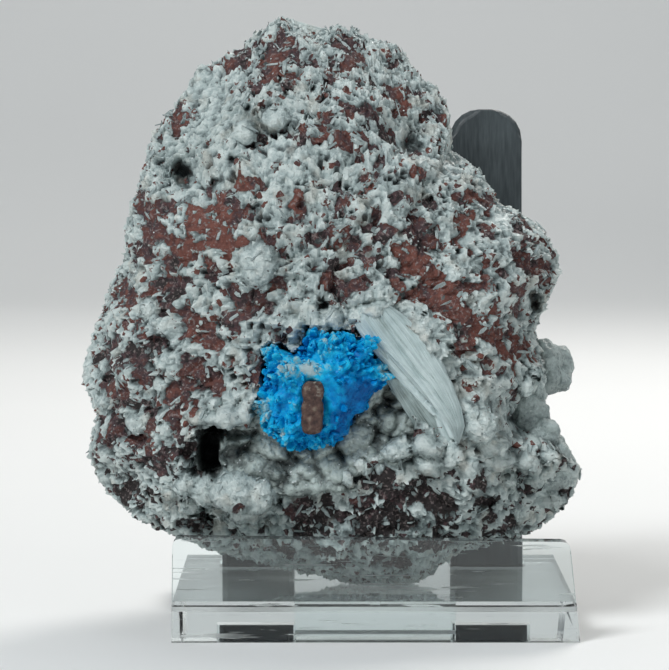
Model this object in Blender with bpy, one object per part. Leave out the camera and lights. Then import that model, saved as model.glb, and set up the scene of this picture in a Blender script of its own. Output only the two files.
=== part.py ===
"""Cavansite with stilbite in a druse-lined vug of basalt breccia, standing in a clear stand.

Lengths below are in millimetres and are turned into metres when a mesh is made. The origin is the
centre of the stand's flat underside, +X to the right of the front, +Y to the back, +Z up.
"""

import math
import random

import bmesh
import bpy
from mathutils import Matrix, Vector, noise

MM = 0.001
GAP = 0.3
SEED = 29

# Stand
STAND_WIDTH = 52.5
STAND_DEPTH = 48.0
FLOOR_THICKNESS = 5.0
LIP_THICKNESS = 3.0
LIP_HEIGHT_LEFT = 13.5
LIP_HEIGHT_RIGHT = 13.0
LIP_TOP_LEFT_X = -26.1
LIP_TOP_RIGHT_X = 25.0
LIP_CORNER = 1.1
EDGE_ROUND = 0.45
GROOVE_WIDTH = 21.0
GROOVE_HEIGHT = 4.3
GROOVE_DEPTH = 3.4
GROOVE_Y = -14.0
PIP_WIDTH = 1.6
PIP_HEIGHT = 2.6

# Posts behind the stone; LEAN is how far they go back for each unit of height
POST_WIDTH = 10.1
POST_THICKNESS = 3.0
POST_TOP = 68.2
POST_CENTRE_X = 15.95
POST_CORNER = 4.2
POST_SOCKET_Z = 2.0
POST_BEVEL = 0.7
POST_CORNER_STEPS = 5
LEAN = 0.10

# Matrix: outline of the stone seen from the front, clockwise from the top peak, as (x, z)
OUTLINE = (
    (-12.5, 80.4), (-10.6, 79.4), (-8.1, 77.8), (-4.6, 78.9), (-2.4, 78.6), (-0.6, 77.2),
    (2.8, 76.8), (5.4, 73.5), (6.2, 71.6), (8.4, 70.9), (10.1, 67.0), (10.2, 62.6),
    (13.8, 59.6), (16.8, 55.4), (19.4, 54.4), (22.7, 51.6), (24.8, 46.4), (23.5, 43.5),
    (21.2, 38.6), (22.6, 34.0), (22.7, 29.8), (21.6, 28.0), (23.7, 24.4), (27.4, 20.7),
    (26.4, 16.5), (23.6, 13.6), (18.5, 11.2), (11.0, 9.6), (7.6, 6.5), (3.0, 5.3),
    (-2.0, 5.6), (-8.5, 6.6), (-16.0, 8.6), (-24.0, 11.0), (-31.0, 13.2), (-35.2, 16.7),
    (-38.0, 22.0), (-37.1, 27.4), (-38.5, 32.0), (-38.3, 35.2), (-36.1, 41.2), (-33.4, 47.5),
    (-32.7, 54.5), (-30.6, 61.5), (-26.6, 68.5), (-23.6, 73.5), (-19.6, 75.4), (-16.3, 77.7),
)
STONE_CENTRE = Vector((-5.0, 0.0, 40.0))
STONE_FRONT_DEPTH = 20.0
STONE_BACK_DEPTH = 17.5
STONE_SQUARENESS = 2.5
STONE_ROUGHNESS = 2.0
STONE_TRIANGLES = 3800

# Broken faces of the matrix: the way each one looks, and how deep it cuts the rounded form
BROKEN_FACES = (
    ((0.15, 0.96, 0.25), 1.6), ((-0.74, 0.66, 0.12), 3.0), ((0.74, 0.66, -0.14), 2.6),
    ((0.10, 0.66, 0.75), 3.0), ((-0.20, 0.70, -0.68), 2.8), ((-0.52, -0.60, 0.61), 2.6),
    ((0.56, -0.58, 0.59), 2.8), ((0.05, -0.80, 0.60), 1.6), ((-0.62, -0.62, -0.48), 2.2),
    ((0.66, -0.60, -0.45), 2.4), ((-0.90, -0.42, 0.10), 1.2),
)

# Forms on the front of the matrix, as (x, z, radius, height); a negative height is a pit
FRONT_FORMS = (
    (-25.0, 59.4, 3.6, -4.5), (-14.2, 65.4, 3.2, -2.6), (4.8, 65.0, 3.4, -2.4),
    (20.8, 42.4, 3.0, -4.2), (17.4, 20.2, 3.0, -3.6), (-21.6, 15.4, 2.4, -3.2),
    (-15.3, 49.6, 4.0, 1.7), (-22.0, 52.5, 6.0, 0.9), (-21.0, 70.0, 6.5, 1.6),
    (12.5, 40.5, 6.0, 1.3), (7.5, 55.0, 6.0, 1.0), (-31.0, 38.0, 5.0, 1.2),
    (1.0, 70.5, 5.0, 1.2), (10.5, 14.5, 5.0, 1.6), (-3.0, 14.5, 4.0, 1.2),
    (19.5, 27.0, 4.0, -5.5), (-31.5, 26.5, 2.6, -2.2), (-33.0, 18.5, 3.0, -1.6),
)

# Lumps grown on the matrix, as (centre, radius)
STONE_LUMPS = (
    ((23.4, -1.0, 33.6), 3.7),
    ((-17.0, -14.8, 17.6), 5.2),
    ((-22.8, -12.6, 17.6), 3.2),
    ((13.6, -14.6, 26.8), 3.4),
    ((22.4, -6.0, 19.8), 4.6),
    ((8.8, -15.6, 21.4), 3.2),
)

# Vug: the chambers cut into the matrix and the open hollows left by the druse that lines them,
# each as (centre, radii)
CHAMBERS = (
    ((-7.2, -17.0, 28.6), (14.2, 9.4, 9.6)),
    ((-20.8, -13.0, 24.2), (5.8, 9.0, 5.2)),
    ((4.8, -18.0, 27.6), (7.4, 6.6, 7.2)),
)
HOLLOWS = (
    ((-9.0, -20.4, 32.0), (11.4, 8.2, 9.2)),
    ((-20.4, -16.0, 24.6), (4.4, 9.6, 4.0)),
    ((5.0, -21.4, 30.6), (6.0, 6.2, 6.4)),
)
VUG_LUMP = 1.4
DRUSE_LUMP = -2.4
DRUSE_PROUD = 1.2

# Cavansite rosette
ROSETTE_CENTRE = Vector((-6.4, -18.6, 32.3))
ROSETTE_RADII = Vector((9.0, 5.4, 7.9))
ROSETTE_ROOT = ROSETTE_CENTRE + Vector((0.0, 1.5, 0.0))
ROSETTE_BLADES = 35
ROSETTE_CORE = 0.74
ROSETTE_SPIKES = (
    ((3.0, -18.4, 33.9), 1.5), ((2.2, -18.9, 35.6), 1.2), ((0.9, -19.0, 38.2), 1.7),
    ((-0.6, -20.4, 31.0), 1.6), ((-15.6, -18.8, 32.0), 1.6), ((-9.3, -19.0, 40.4), 1.4),
    ((-4.0, -19.6, 40.0), 1.5), ((-11.8, -20.0, 25.4), 1.6), ((-3.4, -19.4, 25.2), 1.6),
)

# Basalt chip held in the rosette
CHIP_CENTRE = Vector((-8.1, -23.7, 30.5))
CHIP_SIZE = Vector((2.7, 2.2, 6.5))

# Stilbite sheaf: each blade from its root to its tip, as ((x, z), (x, z), width, height)
SHEAF_SEAT_TOP = Vector((0.0, -19.3, 43.0))
SHEAF_SEAT_FOOT = Vector((0.0, -16.0, 25.0))
SHEAF_BLADES = (
    ((1.8, 42.8), (6.2, 32.0), 2.4, 0.5), ((2.6, 44.0), (7.4, 31.0), 2.6, 1.0),
    ((3.4, 44.2), (8.6, 29.8), 2.9, 1.6), ((4.8, 43.6), (9.8, 28.4), 2.9, 2.0),
    ((6.0, 41.4), (10.8, 27.6), 2.8, 1.5), ((4.4, 38.2), (10.5, 25.2), 3.3, 2.5),
    ((6.8, 39.0), (11.6, 27.2), 2.6, 1.0), ((2.6, 38.2), (8.2, 27.8), 2.7, 1.3),
    ((2.8, 34.6), (7.0, 27.2), 2.3, 0.7), ((3.8, 33.8), (8.6, 26.4), 2.3, 1.1),
)


def clear_scene():
    """Remove what the file already holds."""
    for item in list(bpy.data.objects):
        bpy.data.objects.remove(item, do_unlink=True)


def make_material(name, colour, roughness, metallic=0.0, alpha=1.0):
    """Return a Principled material of one colour."""
    material = bpy.data.materials.new(name)
    material.use_nodes = True
    shader = material.node_tree.nodes["Principled BSDF"]
    shader.inputs["Base Color"].default_value = (*colour, 1.0)
    shader.inputs["Roughness"].default_value = roughness
    shader.inputs["Metallic"].default_value = metallic
    shader.inputs["Alpha"].default_value = alpha
    material.diffuse_color = (*colour, alpha)
    return material


def add_object(name, shape):
    """Turn a bmesh in millimetres into an object in metres, and free the bmesh."""
    bmesh.ops.scale(shape, vec=(MM, MM, MM), verts=shape.verts)
    bmesh.ops.recalc_face_normals(shape, faces=shape.faces)
    mesh = bpy.data.meshes.new(name)
    shape.to_mesh(mesh)
    shape.free()
    solid = bpy.data.objects.new(name, mesh)
    bpy.context.scene.collection.objects.link(solid)
    return solid


def combine(base, tool, operation):
    """Join, cut or intersect base with tool, and remove the tool."""
    boolean = base.modifiers.new(operation.title(), "BOOLEAN")
    boolean.object = tool
    boolean.operation = operation
    boolean.solver = "EXACT"
    graph = bpy.context.evaluated_depsgraph_get()
    result = bpy.data.meshes.new_from_object(base.evaluated_get(graph))
    base.modifiers.clear()
    base.data = result
    bpy.data.objects.remove(tool, do_unlink=True)
    return base


def finish(solid, material):
    """Keep the largest connected body of a solid, triangulate it and give it its material."""
    shape = bmesh.new()
    shape.from_mesh(solid.data)
    bmesh.ops.remove_doubles(shape, verts=shape.verts, dist=0.002 * MM)
    bmesh.ops.dissolve_degenerate(shape, edges=shape.edges, dist=0.002 * MM)
    bodies = connected_bodies(shape)
    bodies.sort(key=len)
    spare = [vertex for body in bodies[:-1] for vertex in body]
    bmesh.ops.delete(shape, geom=spare, context="VERTS")
    bmesh.ops.triangulate(shape, faces=shape.faces)
    shape.to_mesh(solid.data)
    shape.free()
    solid.data.materials.clear()
    solid.data.materials.append(material)
    return solid


def connected_bodies(shape):
    """Return the vertices of each connected body of a bmesh."""
    unseen = set(shape.verts)
    bodies = []
    while unseen:
        stack = [unseen.pop()]
        body = []
        while stack:
            vertex = stack.pop()
            body.append(vertex)
            for edge in vertex.link_edges:
                other = edge.other_vert(vertex)
                if other in unseen:
                    unseen.remove(other)
                    stack.append(other)
        bodies.append(body)
    return bodies


def polygon_prism(points, near, far):
    """Return a prism whose outline lies in the XZ plane, between two heights along Y."""
    shape = bmesh.new()
    front = [shape.verts.new((x, near, z)) for x, z in points]
    back = [shape.verts.new((x, far, z)) for x, z in points]
    shape.faces.new(front)
    shape.faces.new(list(reversed(back)))
    for index in range(len(points)):
        following = (index + 1) % len(points)
        shape.faces.new((front[following], front[index], back[index], back[following]))
    return shape


def block(centre, size):
    """Return a box."""
    shape = bmesh.new()
    place = Matrix.Translation(centre) @ Matrix.Diagonal((*size, 1.0))
    bmesh.ops.create_cube(shape, size=1.0, matrix=place)
    return shape


def lumpy_ball(centre, radii, subdivisions, lump, lump_size, shift):
    """Return an ellipsoid whose surface swells and sinks by lump over cells of lump_size."""
    shape = bmesh.new()
    bmesh.ops.create_icosphere(shape, subdivisions=subdivisions, radius=1.0)
    for vertex in shape.verts:
        place = Vector(vertex.co[axis] * radii[axis] for axis in range(3))
        cells = noise.voronoi((place + Vector((shift, 0.0, 0.0))) / lump_size)[0]
        swell = lump * (0.6 - cells[0])
        vertex.co = Vector(centre) + place + place.normalized() * swell
    return shape


def outline_radius(angle):
    """Return the distance from the stone's centre to its outline in one direction."""
    reach = [(x - STONE_CENTRE.x, z - STONE_CENTRE.z) for x, z in OUTLINE]
    polar = sorted((math.atan2(up, across), math.hypot(across, up)) for across, up in reach)
    first = (polar[0][0] + math.tau, polar[0][1])
    last = (polar[-1][0] - math.tau, polar[-1][1])
    polar = [last, *polar, first]
    for (before, near), (after, far) in zip(polar, polar[1:]):
        if before <= angle <= after:
            share = (angle - before) / (after - before)
            return near + (far - near) * share
    return polar[0][1]


def rounded_stone(direction, swell=0.0):
    """Return the matrix's rounded form in one direction: its outline, bulging front and back."""
    across = math.hypot(direction.x, direction.z)
    reach = outline_radius(math.atan2(direction.z, direction.x)) + swell
    depth = (STONE_FRONT_DEPTH if direction.y < 0.0 else STONE_BACK_DEPTH) + swell
    power = STONE_SQUARENESS
    radius = ((across / reach) ** power + (abs(direction.y) / depth) ** power) ** (-1.0 / power)
    return direction * radius


def roughen(place, direction):
    """Return a point of the matrix with its broken relief and the forms on its front."""
    block_edge = noise.voronoi(place / 9.0)[0]
    small_edge = noise.voronoi(place / 4.5)[0]
    step = (block_edge[1] - block_edge[0]) - 0.3
    grain = (small_edge[1] - small_edge[0]) - 0.3
    facing = 0.30 + 0.70 * abs(direction.y)
    place += direction * (STONE_ROUGHNESS * facing * (0.7 * step + 0.5 * grain))
    if direction.y < 0.0:
        place.y -= sum(
            height * math.exp(-((place.x - x) ** 2 + (place.z - z) ** 2) / radius**2)
            for x, z, radius, height in FRONT_FORMS
        )
    return place


def stone_body(name, subdivisions, swell=0.0):
    """Return the matrix before the vug is cut, swollen outwards by a chosen amount."""
    shape = bmesh.new()
    bmesh.ops.create_icosphere(shape, subdivisions=subdivisions, radius=1.0)
    directions = [vertex.co.normalized() for vertex in shape.verts]
    places = [rounded_stone(direction, swell) for direction in directions]
    for normal, cut in BROKEN_FACES:
        facing = Vector(normal).normalized()
        level = max(place.dot(facing) for place in places) - cut
        for place in places:
            if place.dot(facing) > level:
                place *= level / place.dot(facing)
    for vertex, direction, place in zip(shape.verts, directions, places):
        place = STONE_CENTRE + place
        place.y += LEAN * (place.z - STONE_CENTRE.z)
        vertex.co = roughen(place, direction)
    return add_object(name, shape)


def thin_out(solid, triangles):
    """Merge the flatter triangles of a solid until it has a chosen number."""
    fewer = solid.modifiers.new("Fewer", "DECIMATE")
    fewer.ratio = triangles / len(solid.data.polygons)
    graph = bpy.context.evaluated_depsgraph_get()
    result = bpy.data.meshes.new_from_object(solid.evaluated_get(graph))
    solid.modifiers.clear()
    solid.data = result
    return solid


def joined_rooms(name, rooms, lump, detail, shrink=0.0):
    """Return lumpy rooms joined into one space, the first in the finest detail."""
    space = None
    for index, (centre, radii) in enumerate(rooms):
        small = [radius - shrink for radius in radii]
        level = detail if index == 0 else detail - 1
        room = add_object(name, lumpy_ball(centre, small, level, lump, 3.6, 11.0 * index))
        space = room if space is None else combine(space, room, "UNION")
    return space


def spike_body(name, tip, width, margin=0.0):
    """Return one long crystal of the rosette's rim, or with a margin the room it needs."""
    tip = Vector(tip)
    start = ROSETTE_ROOT.lerp(tip, 0.45)
    end = tip + (tip - start).normalized() * 1.5 * margin
    size = width + 2.0 * margin
    thickness = width * 0.55 + 2.0 * margin
    return add_object(name, crystal(start, end, size, thickness, (0.2, -1.0, 0.1)))


def rosette_seat(name):
    """Return the space that the rosette fills, with a gap round it."""
    margin = 2.0 * GAP
    radii = ROSETTE_RADII + Vector((margin, margin, margin))
    seat = add_object(name, lumpy_ball(ROSETTE_CENTRE, radii, 3, 0.0, 1.0, 0.0))
    for tip, width in ROSETTE_SPIKES:
        combine(seat, spike_body("spike_room", tip, width, 1.2 * GAP), "UNION")
    return seat


def sheaf_floor(z):
    """Return how far back the stilbite's seat lies at one height."""
    share = (SHEAF_SEAT_TOP.z - z) / (SHEAF_SEAT_TOP.z - SHEAF_SEAT_FOOT.z)
    return SHEAF_SEAT_TOP.y + (SHEAF_SEAT_FOOT.y - SHEAF_SEAT_TOP.y) * share


def crystal(root, tip, width, thickness, flat_side):
    """Return a tabular crystal from root to tip with four side faces and a chisel end."""
    root = Vector(root)
    run = Vector(tip) - root
    length = run.length
    along = run.normalized()
    side = along.cross(Vector(flat_side)).normalized()
    up = side.cross(along).normalized()
    shape = bmesh.new()
    rings = []
    for share, size in ((0.0, 0.72), (0.84, 1.0)):
        centre = root + along * length * share
        corners = ((-1, -1), (1, -1), (1, 1), (-1, 1))
        ring = [
            shape.verts.new(centre + side * a * width * size / 2 + up * b * thickness * size / 2)
            for a, b in corners
        ]
        rings.append(ring)
    ridge = [
        shape.verts.new(root + along * length + side * width * 0.16 * sign) for sign in (-1, 1)
    ]
    bottom, top = rings
    shape.faces.new(list(reversed(bottom)))
    for index in range(4):
        following = (index + 1) % 4
        shape.faces.new((bottom[index], bottom[following], top[following], top[index]))
    shape.faces.new((top[0], top[1], ridge[1], ridge[0]))
    shape.faces.new((top[2], top[3], ridge[0], ridge[1]))
    shape.faces.new((top[1], top[2], ridge[1]))
    shape.faces.new((top[3], top[0], ridge[0]))
    return shape


def make_matrix(material):
    """Build the breccia matrix: the stone with its lumps, less the vug and the crystals' seats."""
    matrix = thin_out(stone_body("breccia_matrix", 6), STONE_TRIANGLES)
    for index, (centre, radius) in enumerate(STONE_LUMPS):
        detail = 3 if radius > 4.0 else 2
        lump = lumpy_ball(centre, (radius, radius, radius), detail, 0.8, 2.4, 5.0 * index)
        combine(matrix, add_object("lump", lump), "UNION")
    below = block(Vector((0.0, 0.0, FLOOR_THICKNESS + GAP - 10.0)), Vector((99.0, 99.0, 20.0)))
    combine(matrix, add_object("below", below), "DIFFERENCE")
    combine(matrix, joined_rooms("vug", CHAMBERS, VUG_LUMP, 3), "DIFFERENCE")
    combine(matrix, rosette_seat("rosette_seat"), "DIFFERENCE")
    combine(matrix, sheaf_body("sheaf_seat", 1.2 * GAP), "DIFFERENCE")
    return finish(matrix, material)


def make_crust(material):
    """Build the druse that lines the vug."""
    crust = joined_rooms("druse_crust", CHAMBERS, VUG_LUMP, 3, GAP + 0.05)
    combine(crust, joined_rooms("hollow", HOLLOWS, DRUSE_LUMP, 3), "DIFFERENCE")
    combine(crust, stone_body("stone_hull", 4, DRUSE_PROUD), "INTERSECT")
    combine(crust, rosette_seat("rosette_seat"), "DIFFERENCE")
    combine(crust, sheaf_body("sheaf_seat", 1.2 * GAP), "DIFFERENCE")
    return finish(crust, material)


def rosette_surface(direction):
    """Return the point of the rosette's outer ellipsoid in one direction."""
    stretch = math.sqrt(sum((direction[axis] / ROSETTE_RADII[axis]) ** 2 for axis in range(3)))
    return ROSETTE_CENTRE + direction / stretch


def spiral_directions(count):
    """Yield directions spread evenly over the front and sides of the rosette."""
    golden = math.pi * (3.0 - math.sqrt(5.0))
    for index in range(count):
        depth = -1.0 + 1.45 * (index + 0.5) / count
        across = math.sqrt(max(0.0, 1.0 - depth * depth))
        angle = golden * index
        yield Vector((across * math.cos(angle), depth, across * math.sin(angle)))


def make_rosette(material):
    """Build the cavansite: radiating pointed crystals grown from one lumpy core."""
    chance = random.Random(SEED)
    radii = ROSETTE_RADII * ROSETTE_CORE
    rosette = add_object("cavansite_rosette", lumpy_ball(ROSETTE_CENTRE, radii, 3, 1.0, 2.6, 3.0))
    for direction in spiral_directions(ROSETTE_BLADES):
        tip = ROSETTE_ROOT.lerp(rosette_surface(direction), chance.uniform(0.93, 1.0))
        start = ROSETTE_ROOT.lerp(tip, 0.25)
        width = chance.uniform(2.0, 3.2)
        flat_side = Vector([chance.uniform(-1.0, 1.0) for _ in range(3)])
        blade = crystal(start, tip, width, width * 0.6, flat_side)
        combine(rosette, add_object("blade", blade), "UNION")
    for tip, width in ROSETTE_SPIKES:
        combine(rosette, spike_body("spike", tip, width), "UNION")
    room = block(CHIP_CENTRE, CHIP_SIZE + Vector((GAP, GAP, GAP)) * 2)
    combine(rosette, add_object("chip_room", room), "DIFFERENCE")
    return finish(rosette, material)


def make_chip(material):
    """Build the chip of basalt that the rosette grew round."""
    shape = block(CHIP_CENTRE, CHIP_SIZE)
    bmesh.ops.bevel(
        shape, geom=shape.edges[:], offset=0.45, segments=1, affect="EDGES", profile=0.5
    )
    return finish(add_object("basalt_chip", shape), material)


def sheaf_body(name, margin=0.0):
    """Return the stilbite's blades joined side by side, or with a margin the room they need."""
    sheaf = None
    for index, ((x, z), (tip_x, tip_z), width, height) in enumerate(SHEAF_BLADES):
        root = Vector((x, sheaf_floor(z) - height * 0.4, z))
        tip = Vector((tip_x, sheaf_floor(tip_z) - height, tip_z))
        along = (tip - root).normalized()
        flat_side = Vector((0.3 * (-1) ** index, -1.0, 0.0))
        thickness = 1.4 + 0.3 * height + 2.0 * margin
        ends = (root - along * margin, tip + along * 1.5 * margin)
        blade = add_object(name, crystal(*ends, width + 2.0 * margin, thickness, flat_side))
        sheaf = blade if sheaf is None else combine(sheaf, blade, "UNION")
    return sheaf


def make_sheaf(material):
    """Build the stilbite: flat blades grown side by side into one sheaf."""
    sheaf = combine(sheaf_body("stilbite_sheaf"), rosette_seat("rosette_seat"), "DIFFERENCE")
    return finish(sheaf, material)


def lip_outline():
    """Return the front lip's outline, narrower at the top, with rounded upper corners."""
    points = [(side_x(-1, 0.0), 0.0), (side_x(1, 0.0), 0.0)]
    corners = ((LIP_TOP_RIGHT_X, LIP_HEIGHT_RIGHT, 0.0), (LIP_TOP_LEFT_X, LIP_HEIGHT_LEFT, 90.0))
    for top_x, height, start in corners:
        centre_x = top_x - math.copysign(LIP_CORNER, top_x)
        for step in range(4):
            angle = math.radians(start + 30.0 * step)
            x = centre_x + LIP_CORNER * math.cos(angle)
            points.append((x, height - LIP_CORNER + LIP_CORNER * math.sin(angle)))
    return points


def side_x(side, z):
    """Return how far out the stand's tapering side is at one height, for side -1 or 1."""
    half = STAND_WIDTH / 2
    top_x, height = LIP_TOP_RIGHT_X, LIP_HEIGHT_RIGHT
    if side < 0:
        top_x, height = -LIP_TOP_LEFT_X, LIP_HEIGHT_LEFT
    return side * (half + (top_x - half) * z / height)


def make_base(material, foot):
    """Build the clear base: a flat floor with an upright front lip, grooved underneath."""
    front = -STAND_DEPTH / 2
    base = add_object("stand_base", polygon_prism(lip_outline(), front, front + LIP_THICKNESS))
    floor_outline = [
        (side_x(-1, 0.0), 0.0), (side_x(1, 0.0), 0.0),
        (side_x(1, FLOOR_THICKNESS), FLOOR_THICKNESS), (side_x(-1, FLOOR_THICKNESS), FLOOR_THICKNESS),
    ]
    floor = polygon_prism(floor_outline, front, -front)
    back_edges = [edge for edge in floor.edges if all(v.co.y > 0.0 for v in edge.verts)]
    bmesh.ops.bevel(
        floor, geom=back_edges, offset=EDGE_ROUND, segments=1, affect="EDGES", profile=0.5
    )
    combine(base, add_object("floor", floor), "UNION")
    for side in (-1, 1):
        combine(base, post_body("socket", side, foot, GAP), "DIFFERENCE")
    groove_centre = Vector((0.0, GROOVE_Y + GROOVE_DEPTH / 2, GROOVE_HEIGHT / 2 - 0.5))
    groove_size = Vector((GROOVE_WIDTH, GROOVE_DEPTH, GROOVE_HEIGHT + 1.0))
    combine(base, add_object("groove", block(groove_centre, groove_size)), "DIFFERENCE")
    drop = GROOVE_HEIGHT - PIP_HEIGHT
    pip = ((-PIP_WIDTH / 2, GROOVE_HEIGHT + 0.3), (0.0, drop), (PIP_WIDTH / 2, GROOVE_HEIGHT + 0.3))
    pip_body = polygon_prism(pip, GROOVE_Y - 0.3, GROOVE_Y + 1.2)
    combine(base, add_object("pip", pip_body), "UNION")
    return finish(base, material)


def post_outline(margin):
    """Return a post's outline with its round top, as (x, z) about the post's centre line."""
    half = POST_WIDTH / 2
    points = [(-half - margin, POST_SOCKET_Z - margin), (half + margin, POST_SOCKET_Z - margin)]
    for centre_x, start in ((half - POST_CORNER, 0.0), (POST_CORNER - half, math.pi / 2)):
        for step in range(POST_CORNER_STEPS + 1):
            angle = start + math.pi / 2 * step / POST_CORNER_STEPS
            reach = POST_CORNER + margin
            x = centre_x + reach * math.cos(angle)
            points.append((x, POST_TOP - POST_CORNER + reach * math.sin(angle)))
    return points


def resting_place(matrix):
    """Return where the leaning front face of the posts meets the floor, a gap behind the stone."""
    reach = POST_WIDTH / 2 + 2.0
    backs = []
    for vertex in matrix.data.vertices:
        x, y, z = vertex.co / MM
        if abs(abs(x) - POST_CENTRE_X) < reach and z < POST_TOP:
            backs.append(y - LEAN * (z - FLOOR_THICKNESS))
    return max(backs) + GAP


def post_body(name, side, foot, margin=0.0):
    """Return one post, leaning back, or with a margin the socket that holds it."""
    shape = polygon_prism(post_outline(margin), -margin, POST_THICKNESS + margin)
    if margin == 0.0:
        edges = [edge for edge in shape.edges if abs(edge.verts[0].co.y - edge.verts[1].co.y) < 1e-6]
        bmesh.ops.bevel(
            shape, geom=edges, offset=POST_BEVEL, segments=1, affect="EDGES", profile=0.5
        )
    for vertex in shape.verts:
        vertex.co.x += side * POST_CENTRE_X
        vertex.co.y += foot + LEAN * (vertex.co.z - FLOOR_THICKNESS)
    return add_object(name, shape)


def main():
    """Build every piece of the specimen and its stand."""
    clear_scene()
    breccia = make_material("zeolite breccia", (0.40, 0.33, 0.31), 0.80)
    druse = make_material("grey druse", (0.33, 0.37, 0.36), 0.35)
    blue = make_material("cavansite blue", (0.005, 0.19, 0.56), 0.35)
    pearl = make_material("stilbite white", (0.52, 0.60, 0.60), 0.30)
    basalt = make_material("brown basalt", (0.12, 0.055, 0.045), 0.75)
    acrylic = make_material("clear acrylic", (0.80, 0.86, 0.88), 0.06, 0.0, 0.35)
    grey = make_material("dark satin plastic", (0.035, 0.042, 0.050), 0.38)
    foot = resting_place(make_matrix(breccia))
    make_crust(druse)
    make_rosette(blue)
    make_chip(basalt)
    make_sheaf(pearl)
    make_base(acrylic, foot)
    for name, side in (("stand_post_right", 1), ("stand_post_left", -1)):
        finish(post_body(name, side, foot), grey)


main()
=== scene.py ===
"""Cavansite with stilbite on zeolite-cemented basalt breccia, standing in a clear stand.

Lengths are in millimetres until a mesh is made. Places called sheet places are read in the plane
that passes through the view's aim: x to the right, z up.
"""

import logging
import math
from collections.abc import Callable
from dataclasses import dataclass, field
from enum import Enum
from typing import Any

import bmesh
import bpy
import numpy as np
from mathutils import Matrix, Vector


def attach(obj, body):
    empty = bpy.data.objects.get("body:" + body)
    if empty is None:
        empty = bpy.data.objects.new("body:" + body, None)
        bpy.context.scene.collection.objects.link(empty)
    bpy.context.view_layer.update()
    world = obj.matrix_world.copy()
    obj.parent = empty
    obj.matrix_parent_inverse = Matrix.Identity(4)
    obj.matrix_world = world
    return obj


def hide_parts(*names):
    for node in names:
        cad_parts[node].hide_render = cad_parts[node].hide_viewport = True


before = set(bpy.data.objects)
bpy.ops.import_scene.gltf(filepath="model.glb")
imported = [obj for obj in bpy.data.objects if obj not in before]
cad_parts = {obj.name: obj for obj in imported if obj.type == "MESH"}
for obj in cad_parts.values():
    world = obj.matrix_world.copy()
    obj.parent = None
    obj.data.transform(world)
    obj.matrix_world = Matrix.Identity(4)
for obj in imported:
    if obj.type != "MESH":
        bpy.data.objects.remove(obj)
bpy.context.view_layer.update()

MM = 0.001
ROOT = "root"
Table = tuple[tuple[float, ...], ...]
log = logging.getLogger("specimen")

# Named places, read on the sheet where nothing else is said

# The stone's outline in the part's axes: x, z
OUTLINE = (
    (-12.5, 80.4), (-10.6, 79.4), (-8.1, 77.8), (-4.6, 78.9), (-2.4, 78.6), (-0.6, 77.2), (2.8, 76.8),
    (5.4, 73.5), (6.2, 71.6), (8.4, 70.9), (10.1, 67), (10.2, 62.6), (13.8, 59.6), (16.8, 55.4),
    (19.4, 54.4), (22.7, 51.6), (24.8, 46.4), (23.5, 43.5), (21.2, 38.6), (22.6, 34), (22.7, 29.8),
    (21.6, 28), (23.7, 24.4), (27.4, 20.7), (26.4, 16.5), (23.6, 13.6), (18.5, 11.2), (11, 9.6),
    (7.6, 6.5), (3, 5.3), (-2, 5.6), (-8.5, 6.6), (-16, 8.6), (-24, 11), (-31, 13.2), (-35.2, 16.7),
    (-38, 22), (-37.1, 27.4), (-38.5, 32), (-38.3, 35.2), (-36.1, 41.2), (-33.4, 47.5), (-32.7, 54.5),
    (-30.6, 61.5), (-26.6, 68.5), (-23.6, 73.5), (-19.6, 75.4), (-16.3, 77.7),
)

# Broken faces of the stone: the way each looks, how deep it cuts, how far the form reaches that way
BROKEN_FACES = (
    ((0.15, 0.96, 0.25), 1.6, 20.9),
    ((-0.74, 0.66, 0.12), 3, 28.1),
    ((0.74, 0.66, -0.14), 2.6, 30.4),
    ((0.1, 0.66, 0.75), 3, 32.9),
    ((-0.2, 0.7, -0.68), 2.8, 28.3),
    ((-0.52, -0.6, 0.61), 2.6, 33.8),
    ((0.56, -0.58, 0.59), 2.8, 30),
    ((0.05, -0.8, 0.6), 1.6, 30.4),
    ((-0.62, -0.62, -0.48), 2.2, 33.9),
    ((0.66, -0.6, -0.45), 2.4, 34.9),
    ((-0.9, -0.42, 0.1), 1.2, 31.7),
)

# Swells and hollows of the front, in the part's axes: x, z, radius, height
FRONT_FORMS = (
    (-25, 59.4, 3.6, -4.5), (-14.2, 65.4, 3.2, -2.6), (4.8, 65, 3.4, -2.4), (20.8, 42.4, 3, -4.2),
    (17.4, 20.2, 3, -3.6), (-21.6, 15.4, 2.4, -3.2), (-15.3, 49.6, 4, 1.7), (-22, 52.5, 6, 0.9),
    (-21, 70, 6.5, 1.6), (12.5, 40.5, 6, 1.3), (7.5, 55, 6, 1), (-31, 38, 5, 1.2), (1, 70.5, 5, 1.2),
    (10.5, 14.5, 5, 1.6), (-3, 14.5, 4, 1.2), (19.5, 27, 4, -5.5), (-31.5, 26.5, 2.6, -2.2),
    (-33, 18.5, 3, -1.6),
)

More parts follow.
